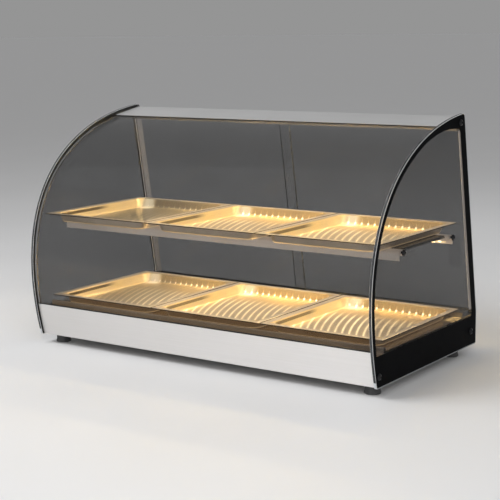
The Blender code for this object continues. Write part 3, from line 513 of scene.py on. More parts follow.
def pan_metal(name, glow, shade_x=None, shift=0.0, painted_grey=0.0):
    """The inside of a drawn stainless pan under a light bar, with painted light: a curved reflection streak
    from each lamp, bright spots at the lamps, highlights, an amber glow and shade.

    glow scales the painted lamp marks. shade_x, a pair of x values, fades them in from the first to the
    second.
    shift moves the painted streaks along the pan, in pitches. painted_grey greys, as painted shade, the side
    that the marks fade from.
    """
    s = Shader(name, metallic=0.7)
    x, y, z = s.axes()
    floor_z, rear_foot_y, rear_edge_y = -0.0186, 0.1375, 0.132
    half_x, half_y = PAN_SIZE[0] / 2, PAN_SIZE[1] / 2
    grain = s.noise((210, 9, 210), 2.0, 0.5)
    cloud = s.noise(14.0, 3.0, 0.6)
    lit = s.fit(x, *shade_x, 0.12, 1.0, True) if shade_x else 1.0
    level = s.times(lit, glow) if shade_x else glow
    # painted reflection streaks of the lamps on the floor, straight at first and sweeping toward the right at
    # the front
    run = s.math("SUBTRACT", rear_edge_y, y)
    bow = s.plus(s.times(run, 0.14), s.times(run, run, 0.875))
    unbowed = s.math("SUBTRACT", x, bow)
    on_floor = s.fall(z, floor_z, floor_z + 0.0012)
    # the pan's sides cut the painted streaks off, and they are faint under the rear wall's own painted glow
    ends = s.times(s.rise(run, 0.030, 0.085), on_floor)
    wobble = s.spread(s.noise((30, 12, 9), 2.0), 0.6, 1.15)
    core = s.math("POWER", s.wave(unbowed, STREAK_PITCH, STREAK_PHASE + shift, 0.0, 0.24), 1.4)
    halo = s.wave(unbowed, STREAK_PITCH, STREAK_PHASE + shift, 0.0, 0.5)
    painted_streaks = s.times(s.plus(core, s.times(halo, 0.25)), wobble, ends)
    # painted reflections of the lamps at the foot of the rear wall, each with a painted streak up the wall
    # and one toward the front
    inside = s.fall(s.math("ABSOLUTE", x), 0.100, 0.112)
    below_rim = s.fit(z, -0.0012, -0.0004, 1.0, 0.0)
    lamp = s.wave(x, LED_PITCH, LED_PHASE + shift, 0.0, 0.23)
    thin_lamp = s.wave(x, LED_PITCH, LED_PHASE + shift, 0.0, 0.12)
    from_foot = s.math("SUBTRACT", y, rear_foot_y)
    rise = s.away(s.plus(z, s.times(from_foot, 0.4)), -0.0140)
    spot = s.times(lamp, s.fall(rise, 0.0004, 0.0036))
    tail = s.times(thin_lamp, s.fit(rise, 0.0, 0.014, 0.42, 0.0, True))
    at_rear = s.rise(y, rear_foot_y - 0.006, rear_foot_y - 0.001)
    painted_lamp_dots = s.times(s.plus(spot, tail), at_rear, inside, below_rim)
    fading = s.times(s.fit(run, -0.004, 0.040, 0.40, 0.0, True), s.fit(y, 0.08, 0.136, 0.3, 1.0))
    painted_front_streaks = s.times(lamp, fading, inside, on_floor)
    # a painted highlight in the rear left corner
    painted_corner_x = s.fall(s.away(x, -0.094), 0.006, 0.024)
    painted_corner_highlight = s.times(painted_corner_x, s.rise(y, 0.108, 0.134), below_rim)
    # painted amber light on the walls and on the floor by them, which also turns the base colour gold
    edge_x = s.math("SUBTRACT", half_x, s.math("ABSOLUTE", x))
    edge_y = s.math("SUBTRACT", half_y, s.math("ABSOLUTE", y))
    edge = s.math("MINIMUM", edge_x, edge_y)
    past_rim = s.rise(edge, 0.0128, 0.0150)
    near_wall = s.fall(edge, 0.022, 0.048)
    rear_warm = s.fit(y, 0.01, 0.125, 0.0, 0.85, True)
    painted_warm_light = s.times(s.math("MAXIMUM", near_wall, rear_warm), past_rim, s.spread(cloud, 0.75, 1.1))
    # a painted highlight line where the floor turns up into the walls
    painted_fold_highlight = s.times(s.fall(s.away(edge, 0.0238), 0.0, 0.0022), 0.5)
    # painted light on the left wall all along, but for a band of painted shade just under the rim at the
    # front
    on_left = s.times(s.fall(s.plus(x, half_x), 0.024, 0.030), past_rim)
    band = s.times(s.fall(s.away(z, -0.0062), 0.0022, 0.0036), s.fall(y, -0.01, 0.04), on_left)
    painted_left_wall_light = s.times(on_left, s.blend(band, 1.0, 0.05), s.spread(cloud, 0.8, 1.1))
    # base colours: plain steel, and a painted lit gold where painted amber light falls
    grained = s.spread(grain, 0, 1)
    plain = s.mix(grained, (0.57, 0.485, 0.40), (0.64, 0.55, 0.465))
    painted_lit_gold = s.mix(grained, (0.80, 0.57, 0.28), (0.88, 0.64, 0.33))
    # painted shade: greys the steel toward the side that the lamp marks fade from, but not on the left wall
    if painted_grey:
        painted_grey_mask = s.times(s.fit(lit, 0.12, 1.0, painted_grey, painted_grey * 0.3), s.blend(on_left, 1.0, 0.0))
        plain = s.mix(painted_grey_mask, plain, (0.30, 0.31, 0.33))
        painted_lit_gold = s.mix(painted_grey_mask, painted_lit_gold, (0.44, 0.42, 0.39))
    colour = s.mix(s.times(painted_warm_light, s.plus(s.times(level, 0.6), 0.3)), plain, painted_lit_gold)
    # painted shade: the hem at the rim's edge, rolling down out of the light, is painted dark, as is the band
    # on the left wall
    hem = s.fall(edge, 0.0007, 0.0015)
    s.set("Base Color", s.mix(s.math("MAXIMUM", s.times(band, 0.8), hem), colour, (0.09, 0.07, 0.05)))
    rim = s.times(s.fall(edge, 0.0120, 0.0145), s.blend(hem, 1.0, 0.0))
    s.set("Roughness", s.spread(grain, 0.29, 0.34))
    # the painted lamp marks, highlights, glow and rim light, all given out as emission
    painted_hot_spots = s.math("MINIMUM", s.plus(s.times(painted_lamp_dots, 1.4), painted_corner_highlight), 1.0)
    tint = s.mix(painted_warm_light, (1.0, 0.78, 0.54), (1.0, 0.65, 0.23))
    tint = s.mix(painted_streaks, tint, (1.0, 0.82, 0.46))
    marks = ((painted_streaks, 1.25), (painted_lamp_dots, 3.4), (painted_front_streaks, 1.1), (painted_fold_highlight, 0.6), (painted_warm_light, 0.36), (on_floor, 0.22))
    shine = s.times(s.plus(*(s.times(mark, strength) for mark, strength in marks)), level)
    rim_light = s.times(rim, s.plus(s.times(level, 0.26), 0.26))
    shine = s.plus(shine, s.times(painted_corner_highlight, 0.7), s.times(painted_left_wall_light, 0.72), rim_light)
    s.emit(s.mix(painted_hot_spots, tint, (1.0, 0.86, 0.58)), shine)
    s.bump(grain, 0.006, 0.0002)
    return s.material


def diffuser():
    """Frosted lens of a light bar, brighter over each lamp behind it."""
    s = Shader("light_diffuser", roughness=0.45)
    spot = s.wave(s.axes()[0], LED_PITCH, LED_PHASE, 0.04, 0.34)
    frost = s.noise(700.0, 2.0)
    s.set("Base Color", s.mix(frost, (0.82, 0.76, 0.62), (0.95, 0.91, 0.80)))
    s.emit(s.mix(spot, (1.0, 0.66, 0.28), (1.0, 0.88, 0.60)), s.blend(spot, 1.6, 7.0))
    s.bump(frost, 0.2, 0.0002)
    return s.material


def fibrous(name, light, dark):
    s = Shader(name, sheen_weight=0.3)
    fibres = s.noise((260, 60, 420), 6.0, 0.7)
    s.set("Base Color", s.tone(fibres, dark, light))
    s.set("Roughness", s.fit(fibres, 0.2, 0.8, 0.85, 1.0))
    s.bump(fibres, 0.8, 0.002)
    return s.material


SATIN = {"metallic": 0.6, "bump": 0.05}
ALONG_X, ALONG_Z = (4, 600, 600), (600, 600, 5)
STAINLESS = brushed("stainless_brushed", (0.92, 0.905, 0.885), (0.84, 0.825, 0.80), 0.40, **SATIN)
# the front sheet gets painted shade, darker toward its left end
FASCIA_STEEL = brushed(
    "stainless_front", (0.96, 0.94, 0.925), (0.89, 0.87, 0.85), 0.40, sheen_x=(-0.42, 0.35), **SATIN
)
ROOF_STEEL = brushed("stainless_roof", grey(0.72), grey(0.65), 0.45, metallic=0.6, bump=0.06)
DECK_STEEL = deck_metal()
# painted shade: the shelf sheet is near black, standing for the shade under the pans
SHELF_STEEL_PAINTED_SHADE = brushed("stainless_shelf", (0.26, 0.24, 0.22), (0.16, 0.15, 0.135), 0.20)
PAN_OUTSIDE = pan_outside()
HIDDEN_STEEL = brushed("stainless_inside", (0.62, 0.61, 0.59), (0.50, 0.49, 0.47), 0.38)
# the rails and the posts get a painted amber glow, for light scattered back from the light bars
RAIL = brushed("rail_satin", (0.97, 0.90, 0.83), (0.86, 0.79, 0.72), 0.34, ALONG_X, metallic=0.35, glow=0.20)
POST = brushed("post_satin", (0.88, 0.90, 0.98), (0.78, 0.80, 0.90), 0.34, ALONG_Z, metallic=0.30, glow=0.34)
TRACK = brushed("track_satin", (0.52, 0.50, 0.47), (0.42, 0.40, 0.38), 0.34, ALONG_X)
RUBBER = moulded("rubber_black", grey(0.030), grey(0.014), 0.68, 1200.0, 0.3)
FOOT_RUBBER = moulded("rubber_foot", (0.075, 0.075, 0.076), (0.045, 0.045, 0.046), 0.62, 900.0, 0.3)
PLASTIC = moulded("plastic_black", (0.030, 0.030, 0.031), (0.017, 0.017, 0.018), 0.38, 1600.0, 0.15)
BLACK_STEEL = moulded(
    "bolt_black", (0.035, 0.035, 0.038), (0.015, 0.015, 0.017), 0.30, 1500.0, 0.1, metallic=0.7
)
ELEMENT = brushed("element_sheath", (0.22, 0.20, 0.19), (0.11, 0.10, 0.10), 0.45, (60, 300, 300))
COPPER = brushed("bulb_copper_drawn", (0.80, 0.46, 0.30), (0.62, 0.33, 0.20), 0.30, (20, 700, 700))
WHITE_PLASTIC = moulded("plastic_driver", (0.80, 0.80, 0.78), (0.70, 0.70, 0.68), 0.45, 900.0, 0.15)
CREAM = moulded("plastic_cream", (0.78, 0.74, 0.62), (0.66, 0.62, 0.50), 0.5, 900.0, 0.15)
RED = moulded("rocker_red", (0.62, 0.025, 0.02), (0.48, 0.015, 0.012), 0.26, 1600.0, 0.08)
GREEN = moulded("rocker_green", (0.04, 0.36, 0.10), (0.02, 0.24, 0.06), 0.26, 1600.0, 0.08)
MARK = moulded("mark_white", (0.86, 0.86, 0.84), (0.74, 0.74, 0.72), 0.45, 1500.0, 0.1)
WOOL = fibrous("insulation_fibre", (0.80, 0.74, 0.55), (0.52, 0.46, 0.30))
FRONT_PANE = glass("glass_front", grey(0.60), grey(0.57))
SIDE_PANE = {
    "left": glass("glass_side_left", grey(0.40), grey(0.375), foot=0.66),
    "right": glass("glass_side_right", grey(0.46), grey(0.43), gloss=0.5),
}
DOOR_GLASS = {
    "left": glass("glass_door_left", grey(0.42), grey(0.395), foot=0.66),
    "right": glass("glass_door_right", grey(0.42), grey(0.395), 0.0091, 0.66),
}
ACRYLIC = glass("acrylic_clear", (0.95, 0.95, 0.955), (0.91, 0.91, 0.915))
GLASS_EDGE = glass_edge("glass_ground_edge", (0.10, 0.105, 0.11), (0.05, 0.053, 0.056), 0.25)
ARRIS = glass_edge("glass_arris", (0.86, 0.87, 0.88), (0.66, 0.67, 0.68), 0.4)
PALE_EDGE = glass_edge("glass_pale_edge", (0.93, 0.95, 0.97), (0.80, 0.83, 0.86), 0.5)
# grey that paints the light coming through the glasses' ground edges
MARGIN_PAINTED_LIGHT = frit("glass_ground_margin", (0.34, 0.35, 0.36), (0.26, 0.27, 0.28), 0.5, 0.3)
FRIT = frit("frit_black", (0.003, 0.0032, 0.004), (0.0012, 0.0014, 0.002), 0.55, 0.03)
FRIT_BACK = frit("frit_grey_back", (0.52, 0.51, 0.50), (0.44, 0.43, 0.42), 0.45, 0.4)
DIFFUSER = diffuser()


def lens():
    s = Shader("lens_amber", roughness=0.12, coat_weight=0.5, coat_roughness=0.05)
    facets = s.noise(500.0, 1.0)
    s.set("Base Color", s.mix(facets, (0.75, 0.08, 0.015), (0.95, 0.20, 0.04)))
    s.emit(s.mix(facets, (1.0, 0.12, 0.02), (1.0, 0.30, 0.08)), s.spread(facets, 0.4, 0.9))
    return s.material


LENS = lens()


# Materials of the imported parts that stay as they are
KEPT = {
    HIDDEN_STEEL: ("base_tray", "element_bracket_left", "element_bracket_right"),
    STAINLESS: ("rear_panel",),
    TRACK: ("door_track_lower", "door_track_upper"),
    RUBBER: ("lower_glass_seal", "upper_glass_seal"),
    PLASTIC: ("thermostat", "power_switch", "light_switch", "wire_loom", "cord_gland"),
    ELEMENT: ("heating_element",),
    COPPER: ("thermostat_bulb",),
    WHITE_PLASTIC: ("led_driver",),
    CREAM: ("terminal_block",),
    WOOL: ("insulation_pad",),
    LENS: ("pilot_lamp",),
}
for kept_material, names in KEPT.items():
    for node_name in names:
        for material_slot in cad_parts[node_name].material_slots:
            material_slot.material = kept_material


# Glass
ARC_STEPS = 90
STRAIGHT_START = ARC_STEPS + 8  # where the straight rear edge starts in the outline, past the top corner


def side_outline():
    """The edge of a side glass, from the bottom front corner over the curve to the rear foot."""
    arc = [on_curve(k / ARC_STEPS) for k in range(ARC_STEPS + 1)]
    way_up = (CURVE[3] - CURVE[2]).normalized()
    edge_way = lean(0, 1) - lean(0, 0)
    along = (KINK - CURVE[3]).cross(edge_way) / way_up.cross(edge_way)
    corner = CURVE[3] + way_up * along
    rear_foot = Vector((KINK.x, 0.020))
    points = arc[1:] + fillet(arc[-1], corner, KINK, 0.010, 12) + [KINK]
    points += fillet(KINK, rear_foot, CURVE[0], 0.004, 6)
    return points + fillet(rear_foot, CURVE[0], arc[1], 0.004, 6)


def slab(name, outline, low, high, chamfer, curved):
    """A pane with ground edges, from low to high along X."""
    inner = shifted(outline, chamfer, closed=True)
    layers = ((low, inner), (low + chamfer, outline), (high - chamfer, outline), (high, inner))
    mesh = loft(name, [[(x, *p) for p in points] for x, points in layers], 30)
    mark_edges(mesh, len(outline), curved)
    return mesh


def mark_edges(mesh, count, curved=None):
    """Gives a pane's faces the first material, the middle of its edge the second and its arrises the third.

    With curved given, the edge past that many segments takes the fourth.
    """
    for face in mesh.polygons:
        row, segment = divmod(face.index, count)
        if row == 1:
            face.material_index = 1 if curved is None or segment < curved else 3
        else:
            face.material_index = 2 if row < 3 else 0


def frit_window():
    """The clear part of a side glass, inside its printed border."""
    low_z, band = 0.082, 0.0112
    points = stretch(band, (1, low_z), (0, -0.040), 50)
    top = ((-0.0243, 0.4573), (0.0140, 0.4683), (0.0465, 0.4740), (0.0700, 0.4758), (0.0900, 0.4754))
    points += [Vector(p) for p in top]
    corner, knee, foot = Vector((0.1170, 0.4735)), Vector((0.1845, 0.099)), Vector((0.1868, low_z))
    points += fillet(points[-1], corner, knee, 0.012, 8) + fillet(corner, knee, foot, 0.020, 4)
    return points + fillet(knee, foot, points[0], 0.006, 5)


def side_glasses():
    outline = side_outline()
    printed = shifted(outline, 0.0013, closed=True)
    window = frit_window()
    for side, sign in SIDES:
        low, high = span(sign, OUTER_X, INNER_X)
        mesh = slab(f"glass_side_{side}", outline, low, high, 0.0007, STRAIGHT_START)
        place(mesh, (SIDE_PANE[side], GLASS_EDGE, ARRIS, PALE_EDGE), f"side_glass_{side}")
        low, high = span(sign, OUTER_X + 0.00003, OUTER_X + 0.00015)
        mesh = filled_mesh(f"glass_print_{side}", [printed, window], low, high)
        place(mesh, (FRIT, FRIT_BACK), name=f"glass_print_{side}")
        for face in mesh.polygons:
            face.material_index = 1 if face.normal.x * sign < -0.5 else 0
        ground_margin(side, sign, outline)


def ground_margin(side, sign, outline):
    """The unprinted margin along the straight rear and bottom edges, a grey strip that paints the light the
    ground edge lets through.
    """
    outer, inner = (shifted(outline, inset, closed=True)[STRAIGHT_START:] for inset in (0.0003, 0.0021))
    low, high = span(sign, OUTER_X + 0.00017, OUTER_X + 0.00024)
    place(prism_mesh(f"glass_margin_{side}", outer + inner[::-1], low, high), MARGIN_PAINTED_LIGHT)


def curved_glass():
    steps = 110
    outer, inner = (
        stretch(inset, (1, 0.0809), (0, 0.062), steps) for inset in (GLASS_INSET, GLASS_INSET + FRONT_GLASS)
    )
    mesh = prism_mesh("glass_front", outer + inner[::-1], -HALF, HALF)
    place(mesh, (FRONT_PANE, GLASS_EDGE), "front_glass")
    for face in mesh.polygons:
        # its upper and lower edges, then its two ends
        at_edge = face.index in (steps - 1, 2 * steps - 1) or face.index >= 2 * steps
        face.material_index = 1 if at_edge else 0


def door_panes():
    """The sliding panes, each with ground edges."""
    low_u, high_u, width, overlap, half, chamfer = 0.0053, 0.395, 0.427, 0.016, 0.002, 0.0005
    for side, sign in SIDES:
        centre = sign * (width / 2 - overlap)
        rings = []
        for out, inset in ((-half, chamfer), (chamfer - half, 0), (half - chamfer, 0), (half, chamfer)):
            reach, low, high = width / 2 - inset, low_u + inset, high_u - inset
            corners = ((-reach, low), (reach, low), (reach, high), (-reach, high))
            rings.append([(centre + x, *lean(DOOR_N[side] + out, u)) for x, u in corners])
        mesh = loft(f"glass_door_{side}", rings, 30)
        mark_edges(mesh, 4)
        materials = (DOOR_GLASS[side], GLASS_EDGE, GLASS_EDGE)
        place(mesh, materials, f"door_glass_{side}", body=f"door_{side}")


# Sheet metal
ROOF_FRONT, ROOF_REAR = Vector((0.050, 0.483)), lean(-0.0056, 0.4162)


def sheet(name, path, radius, thickness, material, replaces, half=HALF):
    mesh = prism_mesh(name, folded(bent(path, radius), thickness), -half, half)
    bevel(place(mesh, material, replaces), 0.0003, 1)


def fascia():
    """The curved front sheet with its turned-in foot, and a cheek at each end."""
    inset, thickness = 0.005, 0.0012
    face = stretch(inset, (1, 0.090), (1, BASE_Z + 0.0022), 40)
    foot = on_curve(curve_t(inset, 1, BASE_Z), inset)
    path = face + fillet(face[-1], foot, Vector((-0.190, BASE_Z)), 0.0016, 5)[1:]
    path.append(Vector((-0.1915, BASE_Z)))
    # the curve runs downward here, so the sheet's inside lies on its left
    mesh = prism_mesh("fascia_sheet", folded(path, -thickness), -HALF, HALF)
    bevel(place(mesh, FASCIA_STEEL, "front_fascia"), 0.00025, 1)
    inner = inset + thickness + 0.0001
    low, high = BASE_Z + thickness + 0.0001, 0.0772
    cheek = stretch(inner, (1, low), (1, high), 20) + [Vector((-0.1983, high)), Vector((-0.1983, low))]
    for side, sign in SIDES:
        near, far = span(sign, HALF, HALF - thickness)
        mesh = prism_mesh(f"fascia_cheek_{side}", cheek, near, far)
        place(mesh, STAINLESS)


def sheets():
    low, crest, lip_y, inner_y = 0.0800, 0.091, -0.1815, -0.1735
    deck_path = [(-0.208, low), (lip_y, low), (lip_y, crest), (inner_y, crest), (inner_y, DECK_TOP)]
    deck_path.append((0.2055, DECK_TOP))
    sheet("deck_sheet", deck_path, 0.0013, 0.001, DECK_STEEL, "deck", HALF - 0.0006)
    roof_path = [ROOF_FRONT, ROOF_REAR, lean(-0.0056, 0.392)]
    sheet("roof_sheet", roof_path, 0.0016, 0.0012, ROOF_STEEL, "top_plate")
    drop, half, top, thickness = 0.005, 0.404, 0.2636, 0.0012
    path = bent([(-half, top - drop), (-half, top), (half, top), (half, top - drop)], 0.0014)
    mesh = prism_mesh("shelf_sheet", folded(path, thickness), -0.1078, 0.0825, "Y")
    bevel(place(mesh, SHELF_STEEL_PAINTED_SHADE, "shelf_plate"), 0.0002, 1)


def rails():
    """The two shelf rails: rounded on top, with a light channel beneath."""
    skirt, lip, channel_top, wall, top, depth = 0.2445, 0.252, 0.2555, 0.0018, 0.2643, 0.017
    ledge, ledge_z, ledge_low = 0.0205, 0.2621, 0.2609
    for end, outer_y, inward in (("front", -0.1253, 1), ("rear", 0.100, -1)):

        def at(across, z):
            return Vector((outer_y + inward * across, z))

        outline = [at(0, skirt)]
        outline += fillet(at(0, skirt), at(0, top), at(depth, top), 0.0075, 14)
        outline += fillet(at(0, top), at(depth, top), at(depth, ledge_z), 0.0008, 4)
        outline += [at(*corner) for corner in (
            (depth, ledge_z), (ledge, ledge_z), (ledge, ledge_low), (depth, ledge_low), (depth, lip),
            (depth - wall, lip), (depth - wall, channel_top), (wall, channel_top), (wall, skirt),
        )]
        mesh = prism_mesh(f"rail_{end}", outline, -HALF, HALF)
        bevel(place(mesh, RAIL, f"shelf_rail_{end}"), 0.0003, 1)


def posts():
    low_z, high_u, thickness, reach = 0.0953, 0.3902, 0.0011, (-0.0240, -0.0010)
    corners = [lean(n, (low_z - lean(n, 0).y) / math.cos(LEAN)) for n in reach]
    corners += [lean(n, high_u) for n in reach[::-1]]
    for side, sign in SIDES:
        near, far = span(sign, HALF, HALF - thickness)
        mesh = prism_mesh(f"post_{side}", corners, near, far)
        bevel(place(mesh, POST, f"rear_post_{side}"), 0.0003, 2)


def lens_outline(half, top, shoulder, drop):
    """A square back and a rounded lower face."""
    angles = [math.pi * (1 - k / 14) for k in range(15)]
    arc = [Vector((half * math.cos(a), -shoulder - drop * math.sin(a))) for a in angles]
    arc[0], arc[-1] = Vector((-half, -shoulder)), Vector((half, -shoulder))
    return [Vector((-half, top)), *arc, Vector((half, top))]


def light_bars():
    """Each bar: a frosted lens, square at the back and rounded below."""
    slope = math.atan2(ROOF_REAR.y - ROOF_FRONT.y, ROOF_REAR.x - ROOF_FRONT.x)
    for name, outline, angle, centre in (
        ("shelf", lens_outline(0.0063, 0.0036, 0.0012, 0.0024), 0.0, (0.0915, 0.2516)),
        ("roof", lens_outline(0.007, 0.003, 0.001, 0.002), slope, (0.084, 0.4842)),
    ):
        placed = [Vector(centre) + Matrix.Rotation(angle, 2) @ p for p in outline]
        mesh = prism_mesh(f"light_{name}", placed, -LIGHT_HALF, LIGHT_HALF)
        place(mesh, DIFFUSER, f"led_bar_{name}")


# Pans


def loop_points(inset, z, radius, segments=9):
    half_x, half_y = PAN_SIZE[0] / 2 - inset, PAN_SIZE[1] / 2 - inset
    return [(p.x, p.y, z) for p in rounded(rectangle(half_x, half_y), radius, segments)]


# inset, height from the rim's top and corner radius, over the hem, the rim, the wall and the floor
PAN_PROFILE = (
    (0.0012, -0.0018, 0.0012), (0.0003, -0.0016, 0.0014), (0.0, -0.0010, 0.0015),
    (0.0002, -0.0004, 0.0015), (0.0008, 0.0, 0.0018), (0.0060, 0.0, 0.0120),
    (0.0128, 0.0, 0.0262), (0.0136, -0.0002, 0.0266), (0.0142, -0.0008, 0.0269),
    (0.0147, -0.0019, 0.0267), (0.0156, -0.0048, 0.0262), (0.0176, -0.0105, 0.0247),
    (0.0188, -0.0140, 0.0236), (0.0196, -0.0158, 0.0229), (0.0208, -0.0174, 0.0217),
    (0.0224, -0.0185, 0.0202), (0.0242, -0.0190, 0.0185), (0.0262, -0.0192, 0.0170),
)


def pan_mesh(name):
    """A drawn pan with a rolled hem, a rounded rim and wide fillets round its floor."""
    work = bmesh.new()
    rings = [[work.verts.new(p) for p in loop_points(*row)] for row in PAN_PROFILE]
    bridge(work, rings, caps=False)
    work.faces.new(rings[-1])
    mesh = mesh_from(work, name, 50)
    if max(mesh.polygons, key=lambda face: face.area).normal.z < 0:
        mesh.flip_normals()
    return mesh


# Per pan: how strongly the painted lamp marks show on it, where they fade in, its painted streaks' shift and
# how much painted shade greys it
PAN_GLOW = {
    "pan_lower_left": (0.85, (-0.12, 0.09), 0.30, 0.35), "pan_lower_middle": (1.0, None, 0.0, 0.0),
    "pan_lower_right": (1.0, None, 0.15, 0.0), "pan_upper_left": (0.5, (-0.04, 0.13), 0.45, 0.70),
    "pan_upper_middle": (0.72, None, 0.60, 0.0), "pan_upper_right": (0.80, None, 0.80, 0.0),
}


def pans():
    for name, (glow, shade, shift, painted_grey) in PAN_GLOW.items():
        centre = centre_of(name)
        centre.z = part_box(name)[1].z
        piece_name = name.replace("pan_", "tray_")
        materials = (pan_metal(f"{piece_name}_steel", glow, shade, shift, painted_grey), PAN_OUTSIDE)
        piece = place(pan_mesh(piece_name), materials, name, body=name, location=centre)
        shell = piece.modifiers.new("Sheet", "SOLIDIFY")
        shell.thickness = 0.0007
        shell.offset = -1.0
        shell.material_offset = 1
        shell.material_offset_rim = 1


# Fasteners and feet


def bolt_mesh(name, axis):
    """A dome head with a hexagon socket, and its shank."""
    segments, socket, depth = 36, 0.0024, 0.0020

    def hexagon(z):
        points = []
        for k in range(segments):
            a = 2 * math.pi * k / segments
            reach = socket * math.cos(math.pi / 6) / math.cos((a % (math.pi / 3)) - math.pi / 6)
            points.append((reach * math.cos(a), reach * math.sin(a), z))
        return points

    dome = [math.radians(d) for d in (58, 48, 38, 28, 18, 8, 0)]
    rows = [(0.0030, 0.0042)] + [(0.0065 * math.cos(a), 0.0005 + 0.0037 * math.sin(a)) for a in dome]
    rows += [(0.0065, 0.0001), (0.0060, 0.0), (0.0024, 0.0), (0.0024, -0.0145)]
    rings = [hexagon(0.0042 - depth), hexagon(0.0041)] + [ring_of(*row, segments) for row in rows]
    return loft(name, rings, 35, axis)


def bolts():
    for side, sign in SIDES:
        for spot in ("lower_front", "lower_rear", "shelf_front", "shelf_rear", "top_rear"):
            node = f"bolt_{spot}_{side}"
            centre = centre_of(node)
            centre.x = sign * (OUTER_X + 0.0003)
            mesh = bolt_mesh(f"screw_{spot}_{side}", "-X" if sign < 0 else "X")
            place(mesh, BLACK_STEEL, node, location=centre)


def feet():
    """Round rubber feet with a wider tread and a ring groove."""
    profile = (
        (0.0, 0.0195), (0.0138, 0.0195), (0.0146, 0.0190), (0.0149, 0.0120), (0.0150, 0.0064),
        (0.0152, 0.0052), (0.0158, 0.0044), (0.0160, 0.0036), (0.0160, 0.0012), (0.0156, 0.0004),
        (0.0148, 0.0), (0.0090, 0.0), (0.0086, 0.0010), (0.0060, 0.0010), (0.0060, 0.0060),
        (0.0, 0.0060),
    )
    for node in [f"foot_{end}_{side}" for end in ("front", "rear") for side in ("left", "right")]:
        centre = centre_of(node)
        centre.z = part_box(node)[0].z
        mesh = loft(f"rubber_{node}", [ring_of(*row, 48) for row in profile], 50)
        place(mesh, FOOT_RUBBER, node, location=centre)


# Rear controls


def pulls():
    """Finger pulls: a bar with a sunk grip, stuck to the outer face of each door."""
    middle_u = 0.131
    bar = rounded(rectangle(0.012, 0.032), 0.006, 6)
    brow = rounded(rectangle(0.0113, 0.0313), 0.0053, 6)
    grip = rounded(rectangle(0.0066, 0.0235), 0.0060, 6)
    grip_floor = rounded(rectangle(0.0058, 0.0227), 0.0052, 6)
    layers = ((bar, 0.0023), (bar, 0.0046), (brow, 0.0052), (grip, 0.0052), (grip_floor, 0.0032))
    for side, n in DOOR_N.items():
        node = f"door_pull_{side}"
        x = centre_of(node).x
        rings = [[(x + p.x, *lean(n + out, middle_u + p.y)) for p in points] for points, out in layers]
        place(loft(f"pull_{side}", rings, 45), ACRYLIC, node, body=f"door_{side}")


def knob():
    """The temperature knob: a fluted skirt, a grip bar and a white pointer."""
    low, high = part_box("thermostat_knob")
    start, reach, body, slot = low.y, high.y - low.y, "temperature_knob", "black_plastic"
    layers = (
        (0.0, 0.0), (0.0214, 0.0), (0.0219, 0.0006), (0.0219, 0.0038), (0.0213, 0.0046), (0.0168, 0.0062),
        (0.0161, 0.0085), (0.0152, reach - 0.0032), (0.0148, reach - 0.0014), (0.0138, reach - 0.0003),
        (0.0126, reach), (0.0, reach),
    )
    # how often the skirt and the grip are cut in, how deep and at which points
    skirt, grip = (4, 0.0004, (1, 2)), (6, 0.0005, (2, 3))
    flutes = {2: skirt, 3: skirt, 6: grip, 7: grip}
    rings = []
    for index, row in enumerate(layers):
        every, depth, cut_at = flutes.get(index, (1, 0, ()))
        rings.append(ring_of(*row, 96, lambda k: depth if k % every in cut_at else 0.0))
    mesh = loft("knob", rings, 35, "Y")
    mesh.transform(Matrix.Translation((KNOB_X, start, CONTROL_Z)))
    place(mesh, PLASTIC, "thermostat_knob", body=body)
    bar = rounded(rectangle(0.0030, 0.0175, (KNOB_X, CONTROL_Z)), 0.0024, 5)
    mesh = prism_mesh("knob_bar", bar, start + 0.0058, high.y - 0.0006, "Y")
    bevel(place(mesh, PLASTIC, body=body), 0.0006, 3)
    pointer = rounded(rectangle(0.0006, 0.0052, (KNOB_X, CONTROL_Z + 0.0112)), 0.0004, 3)
    mesh = prism_mesh("knob_pointer", pointer, high.y - 0.0009, high.y - 0.0003, "Y")
    place(mesh, MARK, body=body)
    dial()


def dial():
    """Printed ticks round the knob, longer at every fifth."""
    work = bmesh.new()
    count, sweep, first = 21, math.radians(300), math.radians(240)
    for k in range(count):
        a = first - sweep * k / (count - 1)
        inner, outer, half = 0.0235, 0.0262 if k % 5 else 0.0285, 0.0003 if k % 5 else 0.0005
        way = Vector((math.cos(a), math.sin(a)))
        side = Vector((-way.y, way.x))
        spots = ((inner, -half), (outer, -half), (outer, half), (inner, half))
        corners = [way * r + side * s for r, s in spots]
        bridge(work, [
            [work.verts.new((KNOB_X + c.x, y, CONTROL_Z + c.y)) for c in corners]
            for y in (PANEL_FACE_Y + 0.00002, PANEL_FACE_Y + 0.00014)
        ])
    place(mesh_from(work, "dial_ticks"), PLASTIC)


ROCKERS = {"power": (-0.305, RED, "power_rocker_red"), "light": (-0.345, GREEN, "light_rocker_green")}


